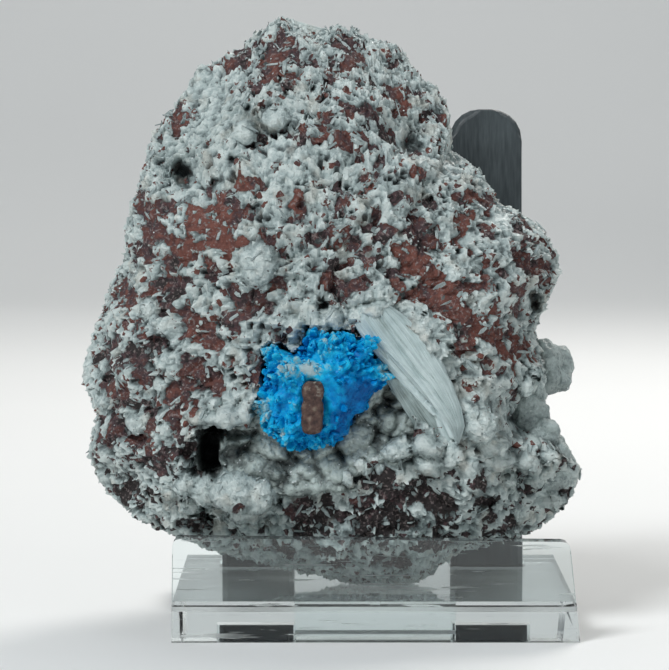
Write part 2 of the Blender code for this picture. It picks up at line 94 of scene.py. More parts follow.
# Patches of basalt: x, z, half width, half height, turn, redness
BASALT_SPOTS = (
    (-7.3, 44.9, 0.7, 0.6, 0, 0), (9.9, 36.3, 0.5, 0.6, 0, 0.4), (10.6, 34.6, 0.9, 1.9, 12, 0.5),
    (10.8, 24.8, 0.3, 0.9, -20, 0), (-12.4, 42.2, 2.2, 1, 20, 0.2), (-20.9, 77.5, 2.4, 1.3, 0, 0.55),
    (-17.9, 79.5, 1.9, 1.1, 35, 0.3), (-15.7, 79.5, 1.3, 0.86, 10, 0.6), (-13.1, 83, 1.3, 1.1, 0, 0.15),
    (-12.9, 80.8, 2.4, 1.5, -10, 0.35), (-11.9, 79.9, 2.6, 0.86, -5, 0.3),
    (-13.4, 78.2, 2.4, 0.97, 5, 0.55), (-14.9, 76.1, 1.7, 1.1, -20, 0.4),
    (-16.2, 75.1, 1.3, 0.75, -30, 0.55), (-9.9, 79.5, 0.97, 1.1, 0, 0),
    (-10.6, 76.5, 0.54, 0.97, -20, 0.7), (-5.8, 77.8, 0.86, 1.3, 15, 0.3), (-5.3, 81, 0.86, 1.5, 0, 0.3),
    (-26.1, 70.5, 1.7, 1.9, 60, 0.45), (-27.3, 68.3, 1.1, 1.1, 0, 0.45),
    (-18.5, 73.5, 1.1, 0.39, 30, 0.1), (-20.5, 70.3, 0.97, 0.43, 25, 0.1),
    (-24.4, 72.6, 0.43, 0.32, 0, 0), (-17, 72.3, 0.39, 0.43, 0, 0), (-12.1, 75.1, 0.39, 0.54, 0, 0.1),
    (-12.3, 74, 0.43, 0.47, 0, 0.4), (-7.5, 75.6, 0.39, 0.3, 0, 0.1), (-6.3, 75.5, 0.34, 0.39, 0, 0),
    (-8.3, 74.5, 0.39, 0.39, 0, 0.4), (-7.3, 73.3, 0.47, 0.47, 0, 0.1), (-9.1, 71.1, 0.65, 0.32, -20, 0),
    (-12.9, 69.3, 1.7, 0.47, 25, 0), (-15.5, 67.9, 0.97, 0.43, -40, 0.1), (-16.6, 66.9, 0.54, 0.54, 0, 0),
    (-18.5, 65, 1.6, 0.47, 5, 0.1), (-17.4, 62.1, 2, 0.97, -35, 0.6), (-10.8, 59.7, 1.1, 1.3, 0, 0.75),
    (-14.2, 61.5, 0.39, 0.43, 0, 0.5), (-14, 65.3, 0.39, 0.75, 0, 0.3), (-19.6, 59.3, 1.1, 1.3, 0, 0.1),
    (-22.6, 57.3, 3, 2.4, 0, 0.8), (-26.1, 53.5, 2.4, 1.9, 0, 0.75), (-19.6, 54.3, 2.8, 1.9, 0, 0.8),
    (-29.5, 56.3, 1.3, 1.9, -10, 0.5), (-31.4, 60.1, 1.1, 1.5, 0, 0.4), (-27.6, 58.6, 0.54, 0.39, 0, 0.5),
    (-26.1, 59.5, 0.86, 0.39, 0, 0.5), (-18.1, 57.3, 1.7, 0.75, -25, 0.55),
    (-14.4, 55.7, 1.9, 0.75, -5, 0.5), (-11.4, 57.3, 1.1, 0.65, -20, 0.55),
    (-13.8, 54.1, 1.5, 1.1, -30, 0.3), (-7.5, 54.3, 1.3, 1.1, 0, 0.2), (-5.4, 54.8, 0.65, 1.1, 0, 0.4),
    (-32.3, 53, 1.1, 1.3, 0, 0.3), (-8.4, 65.3, 0.75, 0.54, 0, 0.2), (-6, 65.1, 0.43, 0.34, 0, 0.1),
    (-6.5, 68.5, 1.1, 0.86, -20, 0.6), (-5.4, 67.5, 0.86, 0.86, 0, 0.6), (-7.5, 67.2, 0.54, 0.3, 0, 0),
    (-8.8, 67.9, 0.43, 0.26, 0, 0), (-6.7, 59.5, 1.3, 0.43, -30, 0.1), (-6, 57.8, 0.86, 0.86, 0, 0.2),
    (-5, 61.6, 0.65, 0.65, 0, 0.1), (-4, 67.7, 1.3, 1.1, 40, 0.55), (-0.3, 67.9, 1.4, 0.75, -30, 0.4),
    (9.8, 69.4, 0.43, 1.3, 0, 0.7), (1.2, 70, 0.86, 0.43, 0, 0.2), (-2.1, 64.2, 0.54, 0.54, 0, 0.45),
    (-4.2, 64, 0.43, 0.54, 0, 0.4), (1.5, 65, 0.43, 0.47, 0, 0.5), (-5.8, 65.2, 0.43, 0.34, 0, 0),
    (-0.2, 61.2, 0.97, 1.3, 30, 0.7), (5.3, 62.6, 1.5, 1.2, -15, 0.5), (-4.6, 61.4, 0.65, 0.54, 0, 0),
    (-4.8, 59.5, 1.3, 0.86, -20, 0.25), (-4.8, 58.2, 1.3, 0.54, -5, 0.2),
    (4.2, 59.7, 1.5, 0.86, -20, 0.15), (0.1, 58.4, 1.6, 0.54, -8, 0.45), (-2.3, 57.1, 0.39, 0.39, 0, 0.2),
    (7.4, 59.6, 0.71, 0.56, 0, 0), (11.7, 60.8, 0.65, 0.6, 0, 0.7), (13.4, 59.9, 1.2, 0.75, -35, 0.7),
    (15.6, 58.6, 1.7, 1.1, -40, 0.5), (12.4, 57.3, 0.75, 0.65, 0, 0.7), (10.2, 56.7, 1.7, 0.97, 10, 0.7),
    (9.4, 55.4, 1.3, 1.2, 0, 0.75), (11.7, 55.8, 1.1, 0.65, 0, 0.6), (15.4, 55.6, 1.3, 1.5, 40, 0.3),
    (6.8, 56.3, 2.4, 0.86, -30, 0.4), (20.1, 56.4, 0.86, 1.3, 40, 0.35), (1.2, 55.4, 3, 1.3, -10, 0.35),
    (-5.3, 54.5, 1.1, 1.7, 15, 0.6), (-3.3, 54.3, 0.86, 1.2, 20, 0.35), (5.9, 54.1, 1.9, 1.9, -45, 0.35),
    (10.9, 53.7, 1.3, 1.3, -40, 0.75), (4, 52, 1.9, 1.3, -30, 0.75), (6.6, 50.2, 2.4, 1.7, -35, 0.75),
    (0.7, 51.5, 1.1, 1.1, 0, 0.1), (-3.6, 51.5, 1.3, 0.65, 20, 0.45), (9.4, 50.5, 0.97, 0.97, 0, 0.6),
    (12.2, 51.1, 1.3, 0.75, -20, 0.3), (13.2, 52, 1.7, 0.65, -20, 0.5), (15.4, 51.7, 0.43, 0.39, 0, 0.6),
    (16.2, 52.7, 0.54, 0.34, 0, 0.7), (16.7, 50.5, 0.86, 0.43, 0, 0.4), (17.3, 49.6, 0.65, 0.43, 0, 0.1),
    (20.5, 54.3, 1.3, 0.86, 20, 0.3), (19.3, 53, 1.3, 0.54, 0, 0.5), (21, 50.7, 1.3, 1.1, 0, 0.35),
    (22.9, 49.6, 0.54, 1.6, 10, 0.4), (3.5, 48.1, 0.86, 0.65, 0, 0.5), (-3.3, 47.4, 1.9, 1.2, 10, 0.25),
    (-4.2, 46.1, 0.97, 1.1, 0, 0.3), (-1.5, 45.7, 1.1, 1.1, 0, 0.3), (-5.7, 48.7, 1.3, 1.3, 0, 0.5),
    (2.7, 46.4, 0.65, 0.75, 60, 0.6), (8.9, 46.1, 2.8, 2.8, 0, 0.7), (11.7, 47.9, 2.4, 1.3, -20, 0.6),
    (5.9, 47.4, 1.3, 1.1, 0, 0.6), (14.5, 48.3, 1.3, 1.1, 30, 0.45), (13.2, 43.1, 3.4, 1.7, -15, 0.8),
    (9.8, 43.6, 2.4, 1.7, 0, 0.7), (15.4, 41.6, 1.3, 1.3, -30, 0.75), (17.8, 44.6, 0.86, 0.54, 0, 0.4),
    (6.8, 44.4, 0.43, 0.34, 0, 0), (6.6, 43.2, 0.34, 0.34, 0, 0), (10.6, 42.3, 1.5, 0.86, 0, 0.2),
    (19, 38.8, 3, 1.9, -35, 0.75), (11.9, 39.7, 1.3, 1.3, 0, 0.5), (15.4, 37.5, 1.1, 1.1, 0, 0.5),
    (9.8, 39.6, 0.34, 0.43, 0, 0), (24.5, 40.1, 0.86, 0.65, 0, 0.35), (-32.3, 53.2, 1.2, 1.5, 0, 0.3),
    (-30.6, 52.4, 0.86, 0.69, 0, 0.45), (-29, 51, 0.86, 1, -30, 0.5), (-30.3, 49.6, 0.77, 0.69, 0, 0.5),
    (-27.5, 51.1, 0.34, 0.77, 0, 0.1), (-22, 49.8, 1, 1.2, 20, 0.4), (-22.5, 47.9, 1, 0.86, -10, 0.55),
    (-23.2, 46.5, 0.77, 0.43, 0, 0.65), (-20.4, 50.3, 1, 0.34, 0, 0.1), (-13.7, 50.1, 1, 0.86, 30, 0.3),
    (-13.5, 48.8, 0.86, 0.86, 0, 0.45), (-34.2, 48.8, 0.69, 1, 0, 0.4), (-33.5, 46, 1.9, 1.7, 0, 0.55),
    (-33.3, 43.9, 1.5, 1.5, 0, 0.55), (-27.1, 47.4, 1.9, 1.5, 15, 0.2), (-27.8, 45, 1, 1.2, 0, 0.1),
    (-25.8, 44.1, 1.5, 1.2, -50, 0.5), (-24.4, 42.4, 1.9, 1.5, -50, 0.55),
    (-22.7, 40.8, 2.4, 1, -20, 0.55), (-23.4, 43.6, 0.86, 0.69, 0, 0.5), (-19.2, 46, 1, 1, 0, 0.45),
    (-21.3, 45.5, 0.69, 0.86, 0, 0.5), (-17, 47.2, 1.9, 1, 0, 0.2), (-17.2, 45.3, 1.7, 1, -5, 0.35),
    (-15.1, 46.2, 0.86, 0.69, 0, 0.4), (-14.6, 44.5, 1.2, 0.43, 10, 0.3),
    (-18, 44.1, 0.69, 0.69, 0, 0.65), (-19.2, 43.1, 0.69, 1, 0, 0.1), (-18.7, 41.5, 0.69, 1, 0, 0.4),
    (-31.1, 41.2, 0.77, 0.69, 0, 0.4), (-29.2, 41.7, 0.6, 0.69, 0, 0.4),
    (-29.6, 40.5, 0.77, 1, -40, 0.15), (-27.3, 40.2, 0.48, 0.86, 15, 0.3),
    (-26.8, 39.1, 0.38, 0.38, 0, 0.5), (-35.4, 40.5, 1.4, 0.86, 20, 0.1), (-37.3, 38.3, 1, 0.52, 20, 0.1),
    (-33.5, 38.8, 1.4, 1.2, 30, 0.1), (-31.6, 38.4, 0.86, 1.4, 0, 0.1), (-30.6, 37.7, 0.38, 0.38, 0, 0.1),
    (-35.8, 35.7, 1.4, 0.69, -20, 0.1), (-35.2, 33.6, 1.4, 0.86, 20, 0.45),
    (-33, 35.8, 0.86, 0.6, 0, 0.3), (-24.7, 37.6, 1.4, 1, -10, 0.35), (-25.1, 35.3, 1.9, 2.2, 0, 0.45),
    (-23.5, 37.6, 0.86, 0.52, 0, 0.15), (-21.6, 36, 1.4, 1.5, 0, 0.45), (-21.5, 34, 0.86, 1.9, 0, 0.45),
    (-19.6, 37.7, 1, 1.5, 0, 0.4), (-17, 38.4, 1, 1, 0, 0.4), (-17, 35.5, 1.9, 1, 10, 0.3),
    (-15.4, 36.7, 1, 1, 0, 0.35), (-30.9, 35, 1, 1.4, 0, 0.35), (-29.2, 35.3, 0.52, 0.86, 0, 0.15),
    (-28.7, 36.2, 1.2, 0.43, 20, 0.3), (-32, 33.6, 0.86, 1, 0, 0.35), (-27.1, 34.3, 1, 0.86, 0, 0.5),
    (-27.5, 32.6, 1.2, 1, 0, 0.6), (-26.3, 31.4, 1, 1.4, 0, 0.55), (-26.6, 29.8, 1, 1, 0, 0.6),
    (-24.7, 31.2, 0.69, 1, 0, 0.5), (-31.6, 31.9, 1, 1, 0, 0.05), (-35.9, 30.2, 1.5, 1, 0, 0.3),
    (-35.6, 28.4, 1.2, 1, 0, 0.3), (-18.4, 17.9, 1.4, 0.84, 15, 0.4), (1, 24.5, 0.72, 0.72, 0, 0.6),
    (-0.8, 23.9, 0.6, 0.6, 0, 0.05), (0.1, 22.2, 1.9, 1.4, 10, 0.25), (-2.5, 18.7, 0.72, 0.96, 0, 0.6),
    (-1.1, 18.1, 1.4, 0.72, 0, 0.6), (0.4, 19.5, 0.96, 1.4, 0, 0.5), (1.8, 17.7, 1.2, 1.2, 0, 0.35),
    (6.6, 22.8, 1.1, 0.84, 0, 0.15), (8.1, 21.9, 0.72, 0.72, 0, 0.1), (7.4, 19, 3.6, 1.9, -20, 0.3),
    (9.8, 17.5, 1.9, 1.9, 0, 0.3), (4.7, 17, 1.4, 1.4, 0, 0), (10.7, 25.2, 0.43, 1.2, -20, 0.1),
    (-10.5, 18.3, 1.2, 1.4, -30, 0.65), (-10.5, 16.3, 0.96, 1.4, 0, 0.35),
    (-10.6, 20.9, 0.43, 0.53, 0, 0.2), (-9.8, 20.3, 0.39, 0.6, 0, 0.1), (-8.8, 18.7, 0.6, 0.48, 0, 0.5),
    (-7.1, 18.7, 1.4, 0.96, -20, 0.35), (-8.6, 21.6, 0.6, 0.48, 0, 0.3), (-7.1, 16.3, 2.7, 1.7, 10, 0.35),
    (-8.6, 15.1, 1.9, 0.96, 0, 0.35), (-5.7, 17, 1.2, 1.4, -45, 0.4), (-4.3, 16.8, 0.48, 0.6, 0, 0.3),
    (-24.9, 15.6, 1.9, 0.96, 0, 0.35), (-12.2, 16.8, 0.6, 0.48, 0, 0.1), (2, 77.8, 1, 0.8, 0, 0.4),
    (1.5, 74.5, 2.2, 0.8, -10, 0.6), (3, 72.5, 1.3, 1.5, 0, 0.6), (-3.5, 81.2, 2.4, 1.3, 0, 0.3),
    (-2.5, 78.6, 1.5, 1.2, 0, 0.4), (-2.5, 72, 2.5, 0.8, -5, 0.5), (-1, 70.8, 1, 0.5, 0, 0.1),
    (2, 68.5, 1.2, 1, 0, 0.05), (15.5, 18.5, 1.4, 1.1, 0, 0.2), (21.5, 20.5, 1.5, 0.8, 0, 0.35),
    (25, 20.4, 0.9, 0.7, 0, 0.3), (13.5, 21.5, 2, 1.2, 0, 0.3), (8, 13.5, 2.6, 1.1, 10, 0.35),
    (2, 11, 3, 1, 0, 0.3), (-6, 12.2, 2.6, 1, 0, 0.35), (-13, 12.6, 2.4, 0.9, 0, 0.3),
    (16.5, 14.2, 2.6, 1.1, 15, 0.3), (-33, 20, 2, 2, 0, 0.25), (-30, 19.8, 1.3, 1, 0, 0.3),
    (-27, 15.6, 1.8, 0.9, 0, 0.3), (-36.6, 17.6, 1.2, 1.6, 0, 0.3), (22.8, 15.6, 1.6, 1, 20, 0.3),
)

# Places that are thick with zeolite: x, z, half width, half height, turn
ZEOLITE_SPOTS = (
    (-23, 74.5, 3.4, 3, -20), (-20.5, 71, 4, 3.4, 0), (-27.2, 66, 1.6, 2, 0), (-16, 50.8, 2.4, 3, 0),
    (-2.6, 46.3, 0.8, 0.75, 0), (1, 44.5, 5, 1.6, 0), (6, 43.5, 3, 1.6, -30), (12, 55, 2, 0.9, -25),
    (16.7, 57.2, 1.2, 1.6, 0), (11, 50, 2.2, 0.8, -10), (8.5, 47, 0.5, 0.5, 0), (18.5, 40, 0.6, 0.4, -20),
    (20, 38, 0.6, 0.4, -20), (9, 64.5, 3, 2.4, 0), (4.5, 61, 1.6, 1.2, 0), (-30, 44.5, 1.5, 1.6, 0),
    (-27, 40, 1.2, 2.4, 10), (21, 35, 2.4, 2.4, 0), (10.6, 36, 1.6, 3.4, 20), (-8, 43.4, 3.6, 1.2, 0),
    (15, 28, 3.4, 3, 0), (6, 25, 6, 2.6, 0),
)

# Pits: x, z, half width, half height, turn, depth
PITS = (
    (19.6, 29.6, 2, 2.4, 0, 2.6), (-7, 45.3, 0.9, 0.6, 0, 1.6), (-6.4, 44.2, 0.35, 0.9, 0, 1.6),
    (-26, 63, 1.7, 2.4, 10, 2.4), (-25.3, 25.4, 1.2, 2.6, 0, 1.6), (-21.6, 61.9, 0.7, 0.9, 0, 1.4),
    (-18.5, 65, 1.6, 0.5, 5, 1), (-13, 69.3, 1.7, 0.5, 25, 1.8), (-16.6, 67, 0.6, 0.6, 0, 1),
    (-16.2, 58.6, 0.8, 1, 0, 1.2), (7.4, 59.6, 0.7, 0.6, 0, 1.2), (21.4, 46, 0.9, 1.8, 10, 2.2),
    (5, 67, 1.4, 2.6, 0, 1.2), (-22.3, 17.3, 0.8, 1.3, 0, 2.2), (-9.8, 59, 0.9, 0.9, 0, 0.8),
    (-13, 19.6, 0.5, 1.6, 10, 1.5), (-24.4, 23, 0.6, 1.2, 0, 1.6), (14.6, 19, 1.5, 1.5, 0, 1.2),
    (5, 26.5, 0.5, 0.9, 0, 1.2), (-27.5, 39.6, 0.5, 0.9, 15, 1.2), (-29.2, 40.8, 0.8, 1, -40, 0.9),
    (-36, 35.6, 1.2, 0.5, -20, 1), (-1.7, 42, 1.7, 0.9, -12, 7), (-30.4, 31.2, 0.35, 1, 30, 0.8),
    (-28.9, 31.4, 0.3, 0.9, 30, 0.8), (-12.9, 76.2, 0.4, 0.5, 0, 0.8), (-12, 73.9, 0.4, 0.5, 0, 0.8),
    (-8.2, 74.6, 0.35, 0.4, 0, 0.8), (-6.4, 75.4, 0.4, 0.4, 0, 0.8), (-7.4, 73.4, 0.6, 0.5, 0, 0.6),
    (-9.1, 71, 0.7, 0.3, -20, 0.9), (-17, 72.2, 0.4, 0.4, 0, 0.8), (-4.6, 61.9, 0.35, 0.5, 0, 0.7),
    (-7.6, 66.9, 0.5, 0.3, 0, 0.8), (6.6, 44.3, 0.35, 0.45, 0, 0.8), (7.8, 52.5, 0.6, 0.5, 0, 0.8),
    (9.9, 39.6, 0.5, 0.5, 0, 0.8),
)

# More or fewer small fragments: x, z, half width, half height, amount
SPECKLED = (
    (-2, 53, 11, 6, 0.01), (8, 46, 8, 6, 0.04), (-30, 52, 5, 9, 0.18), (-30, 26, 8, 8, 0.18),
    (10, 16, 10, 4, 0.16), (-3, 17, 9, 4, 0.1), (-6, 68, 12, 6, 0.06), (18, 50, 6, 7, 0.1),
    (-24, 75, 6, 4, -0.18), (-20, 70, 6, 4, -0.16), (4, 43, 6, 3, -0.2), (-8, 44, 6, 2, -0.1),
)

# Zeolite lumps: x, z, radius, how far out, height over width
LUMPS = (
    (-24.2, 30.5, 1.4, 1.2, 0.7), (-21.6, 30.1, 1.4, 1.4, 0.7), (-19, 30.6, 1.2, 1, 0.8),
    (23.5, 25.2, 1.6, 0.9, 0.7), (20.4, 24.4, 1.7, 1.1, 0.7), (17.6, 24.6, 1.4, 0.9, 0.8),
    (-8.4, 43.9, 1, 0.7, 1.6), (-5.6, 43.7, 1.2, 0.7, 1.3), (-11, 42.8, 1.3, 0.5, 0.9),
    (-12.6, 21, 1.1, 0.5, 0.9), (-10.6, 20.4, 0.9, 0.6, 0.9), (-7.6, 20.5, 1, 0.6, 0.9),
    (-5.6, 21, 1.1, 0.5, 0.8), (-3.7, 22, 1, 0.6, 1), (-1.6, 23.6, 1.1, 0.6, 0.9),
    (-18.9, 20.5, 3.4, 2.6, 0.85), (-15.9, 20, 2.6, 3, 0.95), (-17.7, 17.9, 2.5, 2, 0.8),
    (-15.3, 18.2, 1.9, 0.9, 0.9), (-22.9, 20.4, 2, 0.5, 1.1), (-21.2, 17.8, 1.5, 0.3, 0.9),
    (-25.6, 21, 1.6, 0.3, 1.2), (-24.8, 18.4, 1.5, 0.2, 1), (-13.6, 20.4, 1, 0.4, 1),
    (2.7, 25.7, 2.1, 0.8, 0.6), (3.4, 26.6, 1.4, 0.5, 1), (7, 26.4, 2.2, 1, 0.62),
    (7.4, 23.9, 2.2, 0.8, 0.66), (10.5, 25, 1.4, 0.9, 1.3), (5.2, 23.2, 1.2, 0.3, 0.9),
    (12.6, 23.6, 1.5, 0.4, 1.1), (14.3, 29.2, 2.5, 0.3, 1), (15.9, 26.6, 2.2, 0.4, 0.8),
    (12.6, 21.6, 1.3, 0.2, 0.9), (16.6, 24.2, 1.6, 0.3, 0.8), (-20, 30.2, 1.7, 1.7, 0.95),
    (-17.9, 30.9, 1.3, 1.3, 1.05), (-23.2, 30.5, 1.2, 0.9, 1.1), (-21.9, 32.1, 1, 0.5, 1.1),
    (-16.7, 33.2, 0.9, 0.8, 1.2), (-17.4, 32.3, 1.1, 0.8, 1.1), (-24.8, 31.2, 0.9, 0.6, 1.2),
    (-19.6, 32.6, 0.9, 0.4, 1), (-30.3, 44.9, 1.3, 0.2, 1.2), (-32.2, 29.2, 1.1, 0.2, 1.3),
    (20.4, 34.4, 1.2, 0.4, 1.2), (21.7, 36.2, 1, 0.2, 1.1), (24.4, 19, 1.6, 0.1, 0.8),
    (18, 21.9, 1.3, 0.2, 0.8), (-9.8, 20.6, 0.9, 0.2, 0.8), (-27.6, 20.2, 1.5, 0.1, 1),
    (-15.8, 50.9, 2.5, 0.5, 1.25), (-6.9, 43, 0.8, 1.3, 1.8), (-11.2, 41.6, 0.9, 0.6, 1.1),
    (-13.2, 70.4, 2.2, 0.2, 0.8), (-17.8, 68.6, 1.9, 0.2, 0.9), (0.2, 44.6, 2.4, 0.2, 0.6),
)

# Where the druse shows: x, z, half width, half height, turn
DRUSE_SPOTS = (
    (-10.3, 24.2, 6, 3.9, 0), (-17.6, 25.4, 3.8, 3.4, 0), (-4.5, 25.4, 4.4, 4.4, 0),
    (1.4, 28.8, 4.6, 4.2, -20), (-12, 28, 6, 5, 0), (0.5, 32.5, 4, 3, 0),
)

# Gaps in the druse, sunk back and painted dark as shade, of which the first two rows are deep: x, z, half
# width, half height, turn
GAPS = (
    (-22.5, 25.7, 1.5, 3.1, -8), (-21.7, 23.6, 0.9, 1.5, 10), (-20.4, 28.1, 4.4, 0.9, 0),
    (2, 33, 1.2, 0.8, -30),
)

# Knobs that stand clear of the stone, in the part's axes: x, y, z, radius, height over width
KNOBS = (
    (23.4, -1, 33.6, 3.1, 1.05), (24.7, -2.2, 31.9, 1.5, 0.9), (22.2, -5.6, 19.6, 4, 0.8),
    (20.6, -7, 28, 2.1, 1.3), (22.4, -8, 25.2, 2.1, 0.9), (23.8, -6.5, 23.2, 2.1, 0.9),
    (24.8, -5, 21.2, 1.8, 0.9), (20.2, -10.5, 23.6, 2.2, 0.8),
)

# The rosette's outline: x, z
ROSETTE_OUTLINE = (
    (-8.6, 42.5), (-6.7, 41.9), (-6.1, 41.1), (-5.1, 41.9), (-3, 41.5), (-2.7, 40.6), (-0.1, 41.8),
    (0.9, 41.2), (0.6, 40), (-0.3, 39), (0.1, 37.9), (1.5, 37.7), (1.1, 36.7), (2.4, 36), (1.3, 34.6),
    (0.3, 33.4), (-0.7, 32.1), (-0.9, 31.2), (-2.4, 30.3), (-3.2, 29.2), (-3.5, 27.6), (-5.1, 26.8),
    (-6.7, 26.4), (-9.4, 26), (-11.3, 25.9), (-12.9, 26.7), (-14.6, 28), (-15.8, 30.1), (-16.8, 31.9),
    (-15.6, 33.8), (-15.2, 35.8), (-14.8, 37.9), (-15.4, 39.4), (-14, 40), (-12.3, 39.4), (-11.1, 38.9),
    (-10, 40),
)

# Where the rosette is lighter or deeper: x, z, half width, half height, amount
TONES = (
    (-3.2, 30.6, 4, 4, -0.26), (-0.8, 33.8, 2.6, 1.4, -0.26), (-8, 27.6, 2.2, 1.3, -0.24),
    (-13.8, 34.6, 2.2, 0.9, -0.2), (-6.8, 38, 1.6, 1, 0.02), (1.5, 36.2, 2.4, 1.2, 0.26),
    (-0.2, 40.4, 1.6, 1.4, 0.16), (-10.8, 37.6, 2.4, 0.9, 0.24), (-9.6, 36, 2.2, 1.2, 0.20),
    (-7.8, 36.4, 1, 1.4, 0.12), (-14.2, 38.6, 1.5, 1, 0.2), (-14.4, 31.6, 0.8, 2.4, 0.42),
    (-16.2, 31.6, 1.2, 0.9, 0.34), (-11, 32, 0.8, 1.6, 0.26), (-3.8, 36.6, 2.8, 1, 0.16),
    (-5.4, 33.6, 1, 1, 0.14), (-6.5, 30.2, 0.45, 2.6, 0.42), (-8.3, 27.5, 1.5, 0.4, 0.42),
    (-9, 39.8, 1.4, 1.6, -0.05), (-2.4, 38.4, 1.3, 1.4, -0.16), (-12.6, 31.4, 1.2, 1.6, 0.02),
    (-11.4, 27.4, 2.4, 1.3, 0.08),
)

# Where the rosette is smooth: x, z, half width, half height, amount
SMOOTH = (
    (-3.4, 30.4, 4, 4.2, 1.3), (-0.9, 33.6, 2.4, 1.3, 0.7),
)

# The rosette's long crystals: x, z of the root, x, z of the tip, width
SPIKES = (
    (1.2, 36, 3.15, 36, 1.1), (0.2, 36.6, 2.4, 37.5, 0.9), (-0.6, 37.6, 1.6, 37.9, 0.9),
    (-0.4, 34.9, 1.4, 34.7, 1), (-0.6, 39.4, 0.9, 41, 1.5), (-1.2, 39.6, -0.2, 41.8, 1.5),
    (1.3, 38.4, 3.2, 38.5, 0.45), (-14.8, 31.9, -17.2, 31.8, 1.2), (-8.4, 40.4, -8.6, 42.5, 1.5),
    (-5.2, 40, -5, 42, 1.4), (-4.2, 40, -3.2, 41.6, 1.3), (-14, 38.8, -15.5, 39.5, 1.1),
    (-13.4, 39, -14, 40.2, 1.1),
)

# Edges of the stilbite's broad band: share of its length, x, z of the left edge, x, z of the right
BAND_EDGES = (
    (0, -2, 45.2, 2, 45.6), (0.1, -2.9, 43.6, 5, 43.4), (0.25, -1, 40.8, 7, 41),
    (0.45, 1.6, 37.6, 8.8, 38), (0.65, 4.6, 34.4, 10.4, 35.2), (0.8, 7, 31.8, 11.5, 32.2),
    (0.92, 9.4, 29.2, 12.1, 29.2), (1, 11.1, 26.7, 11.3, 26.8),
)


# Solid noise

class Noise:
    """Seeded noise through space, worked out on whole arrays of places."""

    def __init__(self, seed: int) -> None:
        """Draw the tables that the noise is made from.

        Args:
            seed: Number that fixes the tables.
        """
        draw = np.random.default_rng(seed)
        self.order = np.tile(draw.permutation(256), 2)
        slopes = draw.normal(size=(256, 3))
        self.slopes = slopes / np.linalg.norm(slopes, axis=1, keepdims=True)
        self.seats = draw.random((256, 3))
        self.marks = draw.random(256)

    def _key(self, corner: np.ndarray) -> np.ndarray:
        """Return the table row of each lattice corner."""
        wrapped = corner & 255
        first = self.order[wrapped[..., 0]]
        second = self.order[(first + wrapped[..., 1]) & 255]
        return self.order[(second + wrapped[..., 2]) & 255]

    def soft(self, places: np.ndarray, size: float) -> np.ndarray:
        """Return gradient noise between about -1 and 1.

        At each corner of a lattice a random slope is laid through zero, and the eight slopes
        round a place are blended by 6t^5 - 15t^4 + 10t^3 along each axis.

        Args:
            places: Points, shape (n, 3).
            size: Width of one lattice cell.

        Returns:
            One value for each point.
        """
        scaled = places / size
        corner = np.floor(scaled).astype(np.int64)
        part = scaled - corner
        blend = part**3 * (part * (part * 6.0 - 15.0) + 10.0)
        total = np.zeros(len(places))
        for bits in range(8):
            step = np.array([bits & 1, bits >> 1 & 1, bits >> 2 & 1])
            slope = self.slopes[self._key(corner + step)]
            weight = np.prod(np.where(step, blend, 1.0 - blend), axis=1)
            total += weight * np.sum(slope * (part - step), axis=1)
        return total * 1.6

    def layered(self, places: np.ndarray, size: float, layers: int, fade: float = 0.5) -> np.ndarray:
        """Return soft noise summed over layers, each half the size and fade times the height."""
        total = np.zeros(len(places))
        height = 1.0
        for layer in range(layers):
            total += height * self.soft(places + 17.3 * layer, size / 2.0**layer)
            height *= fade
        return total

    def flakes(self, places: np.ndarray, size: float) -> "Flakes":
        """Return the broken cells that places fall in.

        Each cell of a jittered lattice has a seat, a mark and a tilted face. The face's height
        at a place is the dot product of the cell's slope and the place's offset from the seat.

        Args:
            places: Points, shape (n, 3).
            size: Width of one lattice cell.

        Returns:
            Distances in cell widths, heights, and the seats and marks of the nearest two cells.
        """
        scaled = places / size
        corner = np.floor(scaled).astype(np.int64)
        far = np.full((2, len(places)), 9.0)
        rows = np.zeros((2, len(places)), dtype=np.int64)
        seats = np.zeros((2, len(places), 3))
        for shift in np.ndindex(3, 3, 3):
            lattice = corner + np.array(shift) - 1
            row = self._key(lattice)
            seat = lattice + self.seats[row]
            away = np.linalg.norm(seat - scaled, axis=1)
            nearer = away < far[0]
            following = ~nearer & (away < far[1])
            for held, fresh in ((far, away), (rows, row), (seats, seat)):
                held[1][nearer] = held[0][nearer]
                held[0][nearer] = fresh[nearer]
                held[1][following] = fresh[following]
        lean = np.sum(self.slopes[rows[0]] * (scaled - seats[0]), axis=1)
        return Flakes(far[0], far[1] - far[0], lean, seats * size, self.marks[rows])

    def bubbles(self, places: np.ndarray, size: float) -> np.ndarray:
        """Return 1 - c^2, where c is the distance to the nearest seat in cell widths, at most 1."""
        return 1.0 - np.minimum(self.flakes(places, size).near, 1.0) ** 2


@dataclass
class Flakes:
    """The cells round a set of places: the two nearest seats of each place."""

    near: np.ndarray
    gap: np.ndarray
    lean: np.ndarray
    seats: np.ndarray
    marks: np.ndarray

    def across(self, values: np.ndarray, width: float) -> np.ndarray:
        """Blend a value of the two nearest cells over a width at the edge between them."""
        share = 0.5 + 0.5 * np.clip(self.gap / width, 0.0, 1.0)
        return values[0] * share + values[1] * (1.0 - share)

    def wall(self, width: float) -> np.ndarray:
        """Return 1 on the edge between two cells, falling away over a width."""
        return np.exp(-self.gap / width)


def ramp(values: np.ndarray, low: float, high: float) -> np.ndarray:
    """Return 0 below low, 1 above high and 3t^2 - 2t^3 between them."""
    part = np.clip((values - low) / (high - low), 0.0, 1.0)
    return part * part * (3.0 - 2.0 * part)


def unit(vectors: np.ndarray) -> np.ndarray:
    """Return vectors at length one."""
    return vectors / np.maximum(np.linalg.norm(vectors, axis=-1, keepdims=True), 1e-9)


# View

